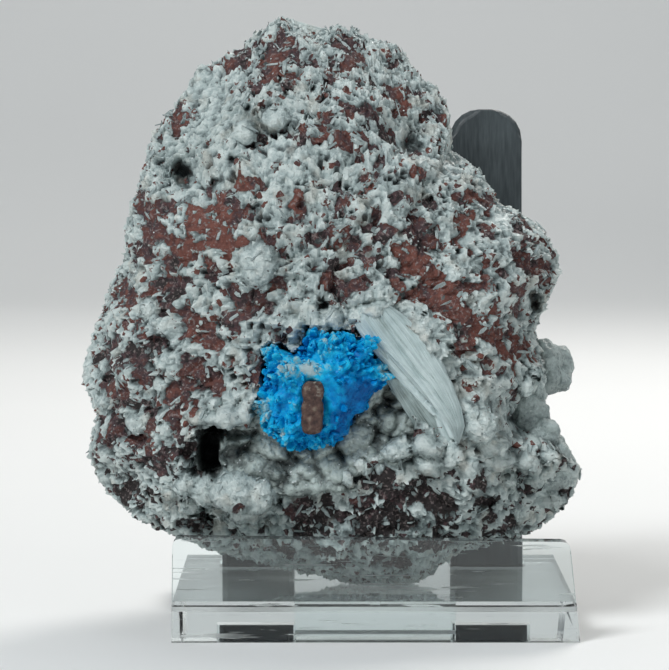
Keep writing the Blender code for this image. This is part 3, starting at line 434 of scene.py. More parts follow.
@dataclass(frozen=True)
class View:
    """The camera's place, and the sheet that places on the front are read from."""

    aim: tuple[float, float, float] = (-5.3, 0.0, 37.9)
    distance: float = 450.0
    lift: float = 4.0
    width: float = 90.3
    sensor: float = 36.0
    sheet_shift: tuple[float, float] = (-0.2, 3.5)

    @property
    def outward(self) -> np.ndarray:
        """Direction from the aim to the camera."""
        angle = math.radians(self.lift)
        return np.array([0.0, -math.cos(angle), math.sin(angle)])

    def sheet(self, places: np.ndarray) -> tuple[np.ndarray, np.ndarray]:
        """Return where places show on the sheet.

        A place is carried along its line of sight to the plane through the aim that faces the
        camera, then counted from the sheet's own zero.

        Args:
            places: Points, shape (n, 3).

        Returns:
            Sheet x and sheet z of each point.
        """
        angle = math.radians(self.lift)
        up = np.array([0.0, math.sin(angle), math.cos(angle)])
        offset = places - np.array(self.aim)
        scale = self.distance / (self.distance - offset @ self.outward)
        across = offset[:, 0] * scale + self.aim[0] + self.sheet_shift[0]
        return across, offset @ up * scale + self.aim[2] + self.sheet_shift[1]


VIEW = View()
OUTSIDE = -9.0


def inside_spot(x: np.ndarray, z: np.ndarray, row: tuple[float, ...]) -> np.ndarray:
    """Return how far inside one spot places on the sheet lie.

    The value is one minus the ellipse's own radius at the place, so it is 1 at the centre, 0 on
    the rim and below 0 outside.

    Args:
        x: Sheet x of the places.
        z: Sheet z of the places.
        row: The ellipse's x, z, half width, half height and turn in degrees, and anything else.

    Returns:
        One value for each place.
    """
    angle = math.radians(row[4])
    along = (x - row[0]) * math.cos(angle) + (z - row[1]) * math.sin(angle)
    across = (z - row[1]) * math.cos(angle) - (x - row[0]) * math.sin(angle)
    return 1.0 - np.hypot(along / row[2], across / row[3])


def spots(places: np.ndarray, table: Table) -> np.ndarray:
    """Return how far inside the nearest spot of a table each point shows on the sheet."""
    x, z = VIEW.sheet(places)
    best = np.full(len(places), OUTSIDE)
    for row in table:
        best = np.maximum(best, inside_spot(x, z, row))
    return best


def spot_value(places: np.ndarray, table: Table, column: int) -> np.ndarray:
    """Return one column of the row whose spot each point lies deepest inside."""
    x, z = VIEW.sheet(places)
    best = np.full(len(places), OUTSIDE)
    value = np.zeros(len(places))
    for row in table:
        inside = inside_spot(x, z, row)
        value = np.where(inside > best, row[column], value)
        best = np.maximum(best, inside)
    return value


def spread(places: np.ndarray, table: Table) -> np.ndarray:
    """Return the sum of smooth bumps, each row being x, z, half width, half height, amount."""
    x, z = VIEW.sheet(places)
    total = np.zeros(len(places))
    for centre_x, centre_z, wide, high, amount in table:
        total += amount * np.exp(-(((x - centre_x) / wide) ** 2) - ((z - centre_z) / high) ** 2)
    return total


def bulges(places: np.ndarray, table: Table) -> np.ndarray:
    """Return the sum of round smooth bumps, each row being x, z, radius, height."""
    total = np.zeros(len(places))
    for x, z, radius, height in table:
        total += height * np.exp(-((places[:, 0] - x) ** 2 + (places[:, 2] - z) ** 2) / radius**2)
    return total


# Meshes

@dataclass
class Skin:
    """Points and faces of one closed surface, with named values on its points."""

    points: np.ndarray
    quads: np.ndarray
    triangles: np.ndarray = field(default_factory=lambda: np.zeros((0, 3), dtype=np.int64))
    values: dict[str, np.ndarray] = field(default_factory=dict)


def join(skins: list[Skin]) -> Skin:
    """Return several skins as one, keeping the values that the first one has."""
    starts = np.cumsum([0] + [len(skin.points) for skin in skins[:-1]])
    return Skin(
        np.concatenate([skin.points for skin in skins]),
        np.concatenate([skin.quads + start for skin, start in zip(skins, starts)]),
        np.concatenate([skin.triangles + start for skin, start in zip(skins, starts)]),
        {
            name: np.concatenate([skin.values[name] for skin in skins])
            for name in skins[0].values
        },
    )


def add_piece(
    name: str, skin: Skin, material: bpy.types.Material, smooth: bool = True, crease: float = 180.0
) -> bpy.types.Object:
    """Make an object of a skin.

    Args:
        name: The piece's name.
        skin: Its points in millimetres, its faces and its values.
        material: The finish.
        smooth: Whether the faces are shaded smooth.
        crease: Angle in degrees above which an edge between smooth faces stays sharp.

    Returns:
        The new object, linked into the scene.
    """
    mesh = bpy.data.meshes.new(name)
    count = len(skin.quads) + len(skin.triangles)
    mesh.vertices.add(len(skin.points))
    mesh.vertices.foreach_set("co", (skin.points * MM).astype(np.float32).ravel())
    corners = np.concatenate([skin.quads.ravel(), skin.triangles.ravel()]).astype(np.int32)
    sizes = np.concatenate([np.full(len(skin.quads), 4), np.full(len(skin.triangles), 3)])
    mesh.loops.add(len(corners))
    mesh.loops.foreach_set("vertex_index", corners)
    mesh.polygons.add(count)
    starts = np.concatenate([[0], np.cumsum(sizes)[:-1]]).astype(np.int32)
    mesh.polygons.foreach_set("loop_start", starts)
    mesh.polygons.foreach_set("use_smooth", np.full(count, smooth))
    mesh.update(calc_edges=True)
    mesh.validate()
    for label, values in skin.values.items():
        layer = mesh.attributes.new(label, "FLOAT", "POINT")
        layer.data.foreach_set("value", values.astype(np.float32))
    if crease < 180.0:
        mesh.set_sharp_from_angle(angle=math.radians(crease))
    return link_piece(name, mesh, material)


def link_piece(name: str, mesh: bpy.types.Mesh, material: bpy.types.Material) -> bpy.types.Object:
    """Give a mesh its material, and return an object of it that is linked into the scene."""
    mesh.materials.append(material)
    piece = bpy.data.objects.new(name, mesh)
    bpy.context.scene.collection.objects.link(piece)
    return piece


def stand_for(piece: bpy.types.Object, node: str) -> None:
    """Let a piece stand for a CAD node: hang it on the root body and hide the node."""
    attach(piece, ROOT)
    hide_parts(node)


# Shader building

def sums(operation: str, swapped: bool = False) -> Callable[["Socket", Any], "Socket"]:
    """Return a method that works out one Math node on a socket and another value.

    Args:
        operation: The node's operation; MAXIMUM gives the larger value, MINIMUM the smaller.
        swapped: Whether the other value comes first.

    Returns:
        The method.
    """

    def method(self: "Socket", other: Any) -> "Socket":
        """Return the node's output."""
        values = (other, self) if swapped else (self, other)
        return self.shader.node("ShaderNodeMath", {"operation": operation}, dict(enumerate(values)))

    return method


class Socket:
    """One output of a shader node, on which sums are written as plain expressions."""

    def __init__(self, shader: "Shader", output: bpy.types.NodeSocket) -> None:
        """Wrap an output.

        Args:
            shader: The material that the node belongs to.
            output: The node's output.
        """
        self.shader = shader
        self.output = output

    __add__ = sums("ADD")
    __radd__ = sums("ADD", swapped=True)
    __sub__ = sums("SUBTRACT")
    __rsub__ = sums("SUBTRACT", swapped=True)
    __mul__ = sums("MULTIPLY")
    __truediv__ = sums("DIVIDE")
    above = sums("MAXIMUM")
    below = sums("MINIMUM")

    def step(self, level: Any, width: float) -> "Socket":
        """Return 0 below level and 1 above it, with a slope of the given width."""
        part = (self - level) / width + 0.5
        return part.above(0.0).below(1.0)


class Shader:
    """A Principled material that is written as expressions."""

    def __init__(self, name: str, roughness: float, **constants: Any) -> None:
        """Make the material and set what is the same all over it.

        Args:
            name: The material's name.
            roughness: Its roughness where nothing is linked.
            constants: Principled inputs by name, with underscores for spaces.
        """
        self.material = bpy.data.materials.new(name)
        self.material.use_nodes = True
        self.tree = self.material.node_tree
        self.surface = self.tree.nodes["Principled BSDF"]
        self.surface.inputs["Roughness"].default_value = roughness
        for label, value in constants.items():
            self.surface.inputs[label.replace("_", " ")].default_value = value
        self.place = self.vector("SCALE", self.node("ShaderNodeTexCoord", {}, {}, "Object"), 1.0 / MM)

    def node(
        self, kind: str, settings: dict[str, Any], values: dict[Any, Any], result: str | int = 0
    ) -> Socket:
        """Add any node.

        Args:
            kind: The node's type.
            settings: Properties that are set first.
            values: Numbers or sockets for its inputs, by name or number.
            result: The output to return.

        Returns:
            The chosen output.
        """
        made = self.tree.nodes.new(kind)
        for label, value in settings.items():
            setattr(made, label, value)
        for label, value in values.items():
            target = made.inputs[label]
            if isinstance(value, Socket):
                self.tree.links.new(value.output, target)
            else:
                target.default_value = value
        return Socket(self, made.outputs[result])

    def vector(self, operation: str, first: Socket, second: Any) -> Socket:
        """Return the result of a Vector Math node on two vectors, or on a vector and a scale."""
        other = 3 if operation == "SCALE" else 1
        return self.node("ShaderNodeVectorMath", {"operation": operation}, {0: first, other: second})

    def ramp(self, value: Socket, *stops: tuple[float, tuple[float, float, float]]) -> Socket:
        """Return the colour that a value reads from stops, each a level and a colour."""
        colour = self.node("ShaderNodeValToRGB", {}, {0: value})
        elements = colour.output.node.color_ramp.elements
        while len(elements) < len(stops):
            elements.new(1.0)
        for element, (level, shade) in zip(elements, stops):
            element.position = level
            element.color = (*shade, 1.0)
        return colour

    def stretched(self, x: float, y: float, z: float) -> Socket:
        """Return the place with its axes multiplied; noise is drawn out along the smaller ones."""
        return self.node("ShaderNodeMapping", {}, {0: self.place, 3: (x, y, z)})

    def attribute(self, name: str) -> Socket:
        """Return a value that the mesh carries on its points."""
        return self.node("ShaderNodeAttribute", {"attribute_name": name}, {}, "Fac")

    def noise(self, size: float, detail: float = 2.0, place: Socket | None = None) -> Socket:
        """Return noise between 0 and 1 whose features are about size across."""
        values = {"Vector": place or self.place, "Scale": 1.0 / size, "Detail": detail}
        return self.node("ShaderNodeTexNoise", {}, values)

    def drift(self, size: float, reach: float) -> Socket:
        """Return the place pushed about by coloured noise, up to about reach."""
        values = {"Vector": self.place, "Scale": 1.0 / size, "Detail": 2.0}
        colour = self.node("ShaderNodeTexNoise", {}, values, "Color")
        push = self.vector("SUBTRACT", colour, (0.5, 0.5, 0.5))
        return self.vector("ADD", self.place, self.vector("SCALE", push, 2.0 * reach))

    def cells(self, size: float, place: Socket) -> tuple[Socket, Socket]:
        """Return each cell's random mark, and the distance to its edge in cell widths."""
        values = {"Vector": place, "Scale": 1.0 / size}
        colour = self.node("ShaderNodeTexVoronoi", {}, values, "Color")
        mark = self.node("ShaderNodeSeparateColor", {}, {0: colour})
        edge = self.node("ShaderNodeTexVoronoi", {"feature": "DISTANCE_TO_EDGE"}, values, "Distance")
        return mark, edge

    def mix(self, share: Any, first: Any, second: Any) -> Socket:
        """Return first where share is 0 and second where it is 1, as a colour."""
        return self.node(
            "ShaderNodeMix", {"data_type": "RGBA"}, {0: share, 6: rgba(first), 7: rgba(second)}, 2
        )

    def bump(self, height: Socket, depth: float) -> Socket:
        """Return a normal raised by height, which is worth depth in millimetres."""
        values = {"Height": height, "Strength": 1.0, "Distance": depth * MM}
        return self.node("ShaderNodeBump", {}, values)

    def feed(self, **inputs: Socket) -> None:
        """Link sockets to the surface's inputs, with underscores for spaces in their names."""
        for label, value in inputs.items():
            self.tree.links.new(value.output, self.surface.inputs[label.replace("_", " ")])


def rgba(colour: Any) -> Any:
    """Return a colour with its alpha, or a socket as it is."""
    return colour if isinstance(colour, Socket) else (*colour, 1.0)


# Shapes

def tube_faces(rows: int, columns: int) -> tuple[np.ndarray, np.ndarray]:
    """Return the faces of a tube of rings that comes to one point at each end.

    Args:
        rows: Number of rings, whose points are numbered ring by ring.
        columns: Points in each ring; the last one joins the first.

    Returns:
        The quads between rings, and the triangles that join the first ring to the point after
        all the rings and the last ring to the one after that.
    """
    index = np.arange(rows * columns).reshape(rows, columns)
    after = np.roll(index, -1, axis=1)
    quads = np.stack([index[:-1], after[:-1], after[1:], index[1:]], axis=-1).reshape(-1, 4)
    first = np.stack([np.full(columns, index.size), after[0], index[0]], axis=-1)
    last = np.stack([np.full(columns, index.size + 1), index[-1], after[-1]], axis=-1)
    return quads, np.concatenate([first, last])


def ball_grid(lifts: np.ndarray, turns: np.ndarray) -> tuple[np.ndarray, np.ndarray, np.ndarray]:
    """Return directions of a grid over a ball, with one point at each pole.

    The direction at lift a and turn b is (cos a sin b, -cos a cos b, sin a), so turn 0 faces the
    front.

    Args:
        lifts: Rising angles of the rows, without the poles.
        turns: Rising angles of the columns.

    Returns:
        Directions, quads and pole triangles.
    """
    lift, turn = np.meshgrid(lifts, turns, indexing="ij")
    grid = np.stack(
        [np.cos(lift) * np.sin(turn), -np.cos(lift) * np.cos(turn), np.sin(lift)], axis=-1
    ).reshape(-1, 3)
    poles = np.array([[0.0, 0.0, -1.0], [0.0, 0.0, 1.0]])
    return np.concatenate([grid, poles]), *tube_faces(len(lifts), len(turns))


def even_ball(rows: int, columns: int) -> tuple[np.ndarray, np.ndarray, np.ndarray]:
    """Return a ball grid of even angles."""
    lifts = np.linspace(-math.pi / 2, math.pi / 2, rows + 1)[1:-1]
    return ball_grid(lifts, np.linspace(-math.pi, math.pi, columns, endpoint=False))


def outline_reach(outline: np.ndarray, centre: tuple[float, float], angle: np.ndarray) -> np.ndarray:
    """Return how far an outline lies from its centre in each direction, between its points."""
    offset = outline - np.array(centre)
    turns = np.arctan2(offset[:, 1], offset[:, 0])
    order = np.argsort(turns)
    return np.interp(angle, turns[order], np.hypot(*offset.T)[order], period=math.tau)


def point_normals(skin: Skin) -> np.ndarray:
    """Return the normal at each point: the mean of its quads' normals, weighted by area."""
    corners = skin.points[skin.quads]
    facing = np.cross(corners[:, 2] - corners[:, 0], corners[:, 3] - corners[:, 1])
    total = np.zeros_like(skin.points)
    for corner in range(4):
        np.add.at(total, skin.quads[:, corner], facing)
    return unit(total)


class Habit(Enum):
    """How a small crystal narrows along its length, as (share of length, share of width)."""

    CHISEL = ((0.0, 0.7), (0.55, 1.0), (0.88, 0.85), (1.0, 0.45))
    SHARD = ((0.0, 0.8), (0.6, 1.0), (1.0, 0.12))
    GRAIN = ((0.0, 0.5), (0.5, 1.0), (1.0, 0.4))


def crystals(
    roots: np.ndarray, tips: np.ndarray, widths: np.ndarray, flatness: float,
    facing: np.ndarray, habit: Habit,
) -> Skin:
    """Return many small crystals as one skin.

    Each one is a four-sided ring carried from root to tip. At each share of the length the ring
    is as wide as its habit says, and flatness times as thick.

    Args:
        roots: Where they start, shape (n, 3).
        tips: Where they end, shape (n, 3).
        widths: Their widths, shape (n,).
        flatness: Thickness over width.
        facing: The way each broad side looks, shape (n, 3).
        habit: How they narrow.

    Returns:
        One closed surface for each crystal, joined.
    """
    along = tips - roots
    side = unit(np.cross(along, facing))
    up = unit(np.cross(side, along))
    rings = []
    for share, size in habit.value:
        centre = roots + along * share
        for across, high in ((-1, -1), (1, -1), (1, 1), (-1, 1)):
            half = (widths * size / 2.0)[:, None]
            rings.append(centre + side * across * half + up * high * half * flatness)
    points = np.stack(rings, axis=1)
    count, each = points.shape[:2]
    faces = [(3, 2, 1, 0)]
    for ring in range(len(habit.value) - 1):
        for corner in range(4):
            a, b = 4 * ring + corner, 4 * ring + (corner + 1) % 4
            faces.append((a, b, b + 4, a + 4))
    faces.append(tuple(each - 4 + corner for corner in range(4)))
    quads = np.array(faces)[None] + (np.arange(count) * each)[:, None, None]
    return Skin(points.reshape(-1, 3), quads.reshape(-1, 4))


def bubbly_ball(
    centre: np.ndarray, radii: np.ndarray, rows: int, noise: Noise, bubble: float, proud: float
) -> Skin:
    """Return an ellipsoid covered in round bubbles.

    The point in direction d is centre + radii * d, stretched by noise as broad as the ball and
    moved out by the bubbles: large ones of the given size, and on them small ones, 0.42 times as
    wide and 0.4 times as proud.

    Args:
        centre: Middle of the ball.
        radii: Half sizes along x, y and z.
        rows: Bands between its poles.
        noise: Where the bubbles' seats come from.
        bubble: Size of one bubble.
        proud: How far the bubbles stand out.

    Returns:
        The closed ball.
    """
    ball, quads, triangles = even_ball(rows, int(rows * 1.5))
    size = float(radii.max())
    stretch = 1.0 + 0.34 * noise.layered(centre + ball * size, 1.25 * size, 2)
    places = centre + ball * radii * stretch[:, None]
    swell = proud * noise.bubbles(places, bubble) + 0.4 * proud * noise.bubbles(places, bubble * 0.42)
    swell += 0.10 * noise.layered(places, 0.8, 2)
    return Skin(places + ball * swell[:, None], quads, triangles)


# Finishes

class Tint:
    """Colours of zeolite and basalt as light values."""

    # SHADOW, GREY, WHITE and BRIGHT run from low to raised zeolite: painted shadow, painted shade, its
    # own colour and painted highlight, mixed with random tone.
    BRIGHT = (0.64, 0.71, 0.69)
    WHITE = (0.42, 0.50, 0.495)
    GREY = (0.17, 0.21, 0.21)
    SHADOW = (0.045, 0.055, 0.055)
    CREAM = (0.62, 0.56, 0.46)
    OCHRE = (0.16, 0.13, 0.10)
    SPECK = (0.050, 0.038, 0.038)
    RED = (0.175, 0.062, 0.046)
    BROWN = (0.100, 0.038, 0.032)
    PURPLE = (0.072, 0.042, 0.047)
    DARK = (0.022, 0.016, 0.016)
    DUST = (0.27, 0.22, 0.21)


@dataclass(frozen=True)
class BrecciaFinish:
    """Broken basalt in white zeolite: which one shows is read from the value "brown"."""

    small: float = 0.72
    relief: float = 0.22
    other_stone: float = 0.93

    def make(self) -> bpy.types.Material:
        """Build the material.

        Each small cell adds its own amount to the value, so a flake of basalt ends along broken
        edges. About one cell in fourteen, those marked above other_stone, is of the other stone.
        Low places, holes and pits are painted darker and raised places lighter, as painted shade and
        painted highlight.
        """
        s = Shader("zeolite breccia", 0.62, IOR=1.48)
        place = s.drift(0.8, 0.18)
        fine, _ = s.cells(self.small, place)
        tiny, rim = s.cells(self.small * 0.5, s.drift(0.5, 0.12))
        grain = s.noise(0.40, 3.0)
        score = s.attribute("brown") + (fine - 0.5) * 0.24 + (grain - 0.5) * 0.45
        basalt = score.step(0.5, 0.05)
        flip = fine + (tiny - 0.5) * 0.10 - s.attribute("calm") * 0.12
        flip = flip - s.attribute("tone").step(0.62, 0.1) * 0.05
        flip = (flip + s.attribute("brown") * 0.015).step(self.other_stone, 0.02)
        basalt = basalt + flip - basalt * flip * 2.0
        # Painted shade and highlight: raised places read lighter, holes and pits darker.
        high = s.attribute("high") + (grain - 0.5) * 0.35 - s.attribute("painted_shade") * 0.8
        tone = s.attribute("tone") + (fine - 0.5) * 0.30 + (s.noise(0.8, 4.0) - 0.5) * 1.3
        # Raised basalt is painted lighter, a painted highlight.
        tone = tone + (high - 0.3) * 0.30
        stone = s.ramp(tone, (0.05, Tint.DARK), (0.24, Tint.PURPLE), (0.50, Tint.BROWN), (0.85, Tint.RED))
        dust = s.noise(0.42, 3.0, place).step(0.60, 0.10) * 0.7
        stone = s.mix(dust, stone, Tint.DUST)
        # The zeolite runs from painted shadow in low places to painted highlight on raised ones, mixed
        # with its own random tone.
        cloud = high + (s.noise(1.5, 3.0) - 0.5) * 0.55 + (fine - 0.5) * 0.16
        white = s.ramp(
            cloud, (0.10, Tint.SHADOW), (0.32, Tint.GREY), (0.54, Tint.WHITE), (0.76, Tint.BRIGHT)
        )
        warm = s.noise(3.2, 2.0).step(0.62, 0.12) * 0.35
        white = s.mix(warm, white, s.mix(cloud, Tint.OCHRE, Tint.CREAM))
        speck = s.noise(0.55, 2.0).step(0.715, 0.03) * 0.8
        white = s.mix(speck, white, Tint.SPECK)
        height = (1.0 - basalt) * 0.6 + fine * 0.4 + grain * 0.9 + (0.12 - rim).above(0.0) * 1.5
        s.feed(
            Base_Color=s.mix(basalt, white, stone),
            Roughness=0.36 + basalt * 0.38,
            Normal=s.bump(height, self.relief),
        )
        return s.material


@dataclass(frozen=True)
class CrustFinish:
    """A crust of small clear crystals over white or grey."""

    name: str
    shade: tuple[float, float, float]
    light: tuple[float, float, float]
    grain: float = 0.34
    relief: float = 0.16
    mottle: float = 0.20
    # The colour of the painted shade in hollows and creases.
    hollow_shade: tuple[float, float, float] = (0.03, 0.035, 0.035)

    def make(self) -> bpy.types.Material:
        """Build the material: each grain has its own tone and its own small facet."""
        s = Shader(self.name, 0.38, IOR=1.50)
        mark, edge = s.cells(self.grain, s.drift(0.5, 0.12))
        # Raised places are painted lighter, a painted highlight, over each grain's own tone.
        cloud = s.noise(1.5, 4.0) + (mark - 0.5) * self.mottle + (s.attribute("high") - 0.45) * 0.5
        colour = s.mix(cloud.step(0.46, 0.5), self.shade, self.light)
        s.feed(
            # Hollows and creases are painted dark, a painted shade.
            Base_Color=s.mix(s.attribute("painted_shade"), colour, self.hollow_shade),
            Roughness=0.22 + mark * 0.45,
            Normal=s.bump(edge + s.noise(0.2, 2.0) * 0.4, self.relief),
        )
        return s.material


@dataclass(frozen=True)
class CavansiteFinish:
    """Azure crystals: deep blue inside, cyan at the tips and pale where they are coated."""

    grain: float = 0.42
    relief: float = 0.10

    def make(self) -> bpy.types.Material:
        """Build the material from the value "tone", 0 deep to 1 pale."""
        s = Shader("cavansite blue", 0.30, IOR=1.54, Specular_IOR_Level=0.14)
        mark, edge = s.cells(self.grain, s.drift(0.6, 0.15))
        tone = s.attribute("tone") + (mark - 0.5) * 0.22 + (s.noise(0.8, 3.0) - 0.5) * 0.30
        colour = s.ramp(
            tone,
            (0.05, (0.000, 0.085, 0.30)), (0.28, (0.000, 0.18, 0.50)), (0.52, (0.000, 0.30, 0.64)),
            (0.74, (0.010, 0.46, 0.76)), (0.88, (0.20, 0.50, 0.62)), (1.0, (0.36, 0.47, 0.50)),
        )
        s.feed(
            Base_Color=colour,
            Roughness=0.22 + mark * 0.3,
            Normal=s.bump(edge + s.noise(0.18, 2.0) * 0.5, self.relief),
        )
        return s.material


@dataclass(frozen=True)
class BasaltFinish:
    """Matt brown rock with a dusting of white, thicker where the value "pale" is high."""

    dusting: tuple[float, float, float] = (0.27, 0.25, 0.21)
    relief: float = 0.25

    def make(self) -> bpy.types.Material:
        """Build the material."""
        s = Shader("brown basalt", 0.8, IOR=1.5)
        colour = s.ramp(
            s.noise(0.9, 4.0),
            (0.30, (0.024, 0.016, 0.015)), (0.45, (0.068, 0.036, 0.030)),
            (0.57, (0.105, 0.060, 0.048)), (0.72, (0.20, 0.155, 0.12)),
        )
        dust = (s.noise(0.8, 4.0) + s.attribute("pale") * 0.14).step(0.72, 0.10)
        s.feed(
            Base_Color=s.mix(dust, colour, self.dusting),
            Normal=s.bump(s.noise(0.35, 3.0), self.relief),
        )
        return s.material


@dataclass(frozen=True)
class StilbiteFinish:
    """Pearly white blades, striated along their length."""

    lines: float = 9.0
    breaks: float = 1.4
    relief: float = 0.18

    def make(self) -> bpy.types.Material:
        """Build the material.

        The lines are noise read at ("across", "along", "blade"), each times its own number, so
        they run along the blades and differ from one blade to the next.
        """
        s = Shader("pearly stilbite", 0.35, IOR=1.50, Coat_Roughness=0.25)
        across = s.attribute("across") * self.lines
        along = s.attribute("along") * self.breaks
        line = s.node("ShaderNodeCombineXYZ", {}, {0: across, 1: along, 2: s.attribute("blade") * 7.0})
        fine = s.noise(1.0, 4.0, line)
        tone = fine * 0.6 + s.noise(1.6, 3.0) * 0.3 + s.attribute("shade") * 0.45
        colour = s.ramp(
            tone,
            (0.24, (0.10, 0.125, 0.115)), (0.42, (0.28, 0.35, 0.34)), (0.60, (0.44, 0.54, 0.54)),
            (0.84, (0.66, 0.76, 0.76)),
        )
        s.feed(
            Base_Color=colour,
            Roughness=0.25 + fine * 0.3,
            Coat_Weight=0.15 + s.noise(2.0) * 0.3,
            Normal=s.bump(fine + s.noise(0.3) * 0.25, self.relief),
        )
        return s.material


@dataclass(frozen=True)
class AcrylicFinish:
    """Clear acrylic with fine scratches, frosted between two heights where the groove is cut."""

    tint: tuple[float, float, float] = (0.90, 0.955, 0.955)
    frosted: tuple[float, float] = (4.0, 4.6)

    def make(self) -> bpy.types.Material:
        """Build the material: thin stretched noise makes the scratches."""
        s = Shader("clear acrylic", 0.04, IOR=1.49, Transmission_Weight=1.0, Base_Color=rgba(self.tint))
        scratch = s.noise(1.0 / 0.7, 5.0, s.stretched(0.12, 0.5, 2.2)).step(0.68, 0.03)
        height = s.node("ShaderNodeSeparateXYZ", {}, {0: s.place}, 2)
        low, high = self.frosted
        frost = (height - low).step(0.0, 0.02) * (high - height).step(0.0, 0.02)
        marks = scratch + frost
        s.feed(Roughness=0.03 + marks * 0.35, Normal=s.bump(marks, 0.01))
        return s.material


@dataclass(frozen=True)
class PostFinish:
    """Dark grey satin plastic with upright brush marks."""

    shade: tuple[float, float, float] = (0.026, 0.034, 0.038)
    light: tuple[float, float, float] = (0.075, 0.094, 0.10)

    def make(self) -> bpy.types.Material:
        """Build the material: noise drawn out along z makes the marks."""
        s = Shader("dark satin plastic", 0.4, IOR=1.5)
        marks = s.noise(1.0, 5.0, s.stretched(3.2, 3.2, 0.10))
        cloud = (marks * 0.6 + s.noise(6.0, 4.0) * 0.5).step(0.60, 0.45)
        s.feed(
            Base_Color=s.mix(cloud, self.shade, self.light),
            Roughness=0.34 + marks * 0.3,
            Normal=s.bump(marks, 0.03),
        )
        return s.material


@dataclass(frozen=True)
class GrainFinish:
    """Clean bright facets that glitter."""

    shade: tuple[float, float, float] = (0.55, 0.60, 0.60)
    light: tuple[float, float, float] = (0.85, 0.90, 0.90)

    def make(self) -> bpy.types.Material:
        """Build the material."""
        s = Shader("clear grains", 0.12, IOR=1.55, Coat_Weight=0.5)
        s.feed(Base_Color=s.mix(s.noise(2.0), self.shade, self.light))
        return s.material


# Pieces

@dataclass
class Front:
    """Heights of a surface towards the viewer, on a grid in x and z."""

    low: np.ndarray
    cell: float
    heights: np.ndarray

    @classmethod
    def of(cls, points: np.ndarray, cell: float = 0.6, fills: int = 14) -> "Front":
        """Take the nearest y of the points in each cell, then fill empty cells from their sides.

        Args:
            points: Points of the surface.
            cell: Width of one cell.
            fills: How many cells wide a gap may be filled from each side.

        Returns:
            The grid.
        """
        low = points[:, [0, 2]].min(axis=0) - 4.0 * cell
        size = np.ceil((points[:, [0, 2]].max(axis=0) - low) / cell).astype(int) + 5
        heights = np.full(size, np.inf)
        index = np.floor((points[:, [0, 2]] - low) / cell).astype(int)
        np.minimum.at(heights, (index[:, 0], index[:, 1]), points[:, 1])
        for _ in range(fills):
            near = np.stack([np.roll(heights, shift, axis) for shift in (-1, 1) for axis in (0, 1)])
            known = np.isfinite(near)
            mean = np.where(known, near, 0.0).sum(axis=0) / np.maximum(known.sum(axis=0), 1)
            heights = np.where(np.isfinite(heights) | ~known.any(axis=0), heights, mean)
        return cls(low, cell, np.where(np.isfinite(heights), heights, 0.0))

    def at(self, x: np.ndarray, z: np.ndarray) -> np.ndarray:
        """Return y at places, blended between the four nearest cells."""
        place = np.stack([x, z], axis=-1) - self.low
        place = np.clip(place / self.cell - 0.5, 0.0, np.array(self.heights.shape) - 2.001)
        corner = np.floor(place).astype(int)
        part = place - corner
        i, j = corner[..., 0], corner[..., 1]
        a, b = part[..., 0], part[..., 1]
        near = self.heights[i, j] * (1 - a) + self.heights[i + 1, j] * a
        far = self.heights[i, j + 1] * (1 - a) + self.heights[i + 1, j + 1] * a
        return near * (1 - b) + far * b


def from_sheet(x: Any, z: Any, y: Any) -> np.ndarray:
    """Return the point at depth y whose place on the sheet is (x, z), which View.sheet undoes."""
    angle = math.radians(VIEW.lift)
    x, z, y = np.broadcast_arrays(np.asarray(x, float), z, y)
    across = x - VIEW.aim[0] - VIEW.sheet_shift[0]
    up = z - VIEW.aim[2] - VIEW.sheet_shift[1]
    rise = up * (VIEW.distance + y * math.cos(angle)) / VIEW.distance - y * math.sin(angle)
    rise = rise / (math.cos(angle) + up * math.sin(angle) / VIEW.distance)
    depth = VIEW.distance + y * math.cos(angle) - rise * math.sin(angle)
    return np.stack([VIEW.aim[0] + across * depth / VIEW.distance, y, VIEW.aim[2] + rise], axis=-1)


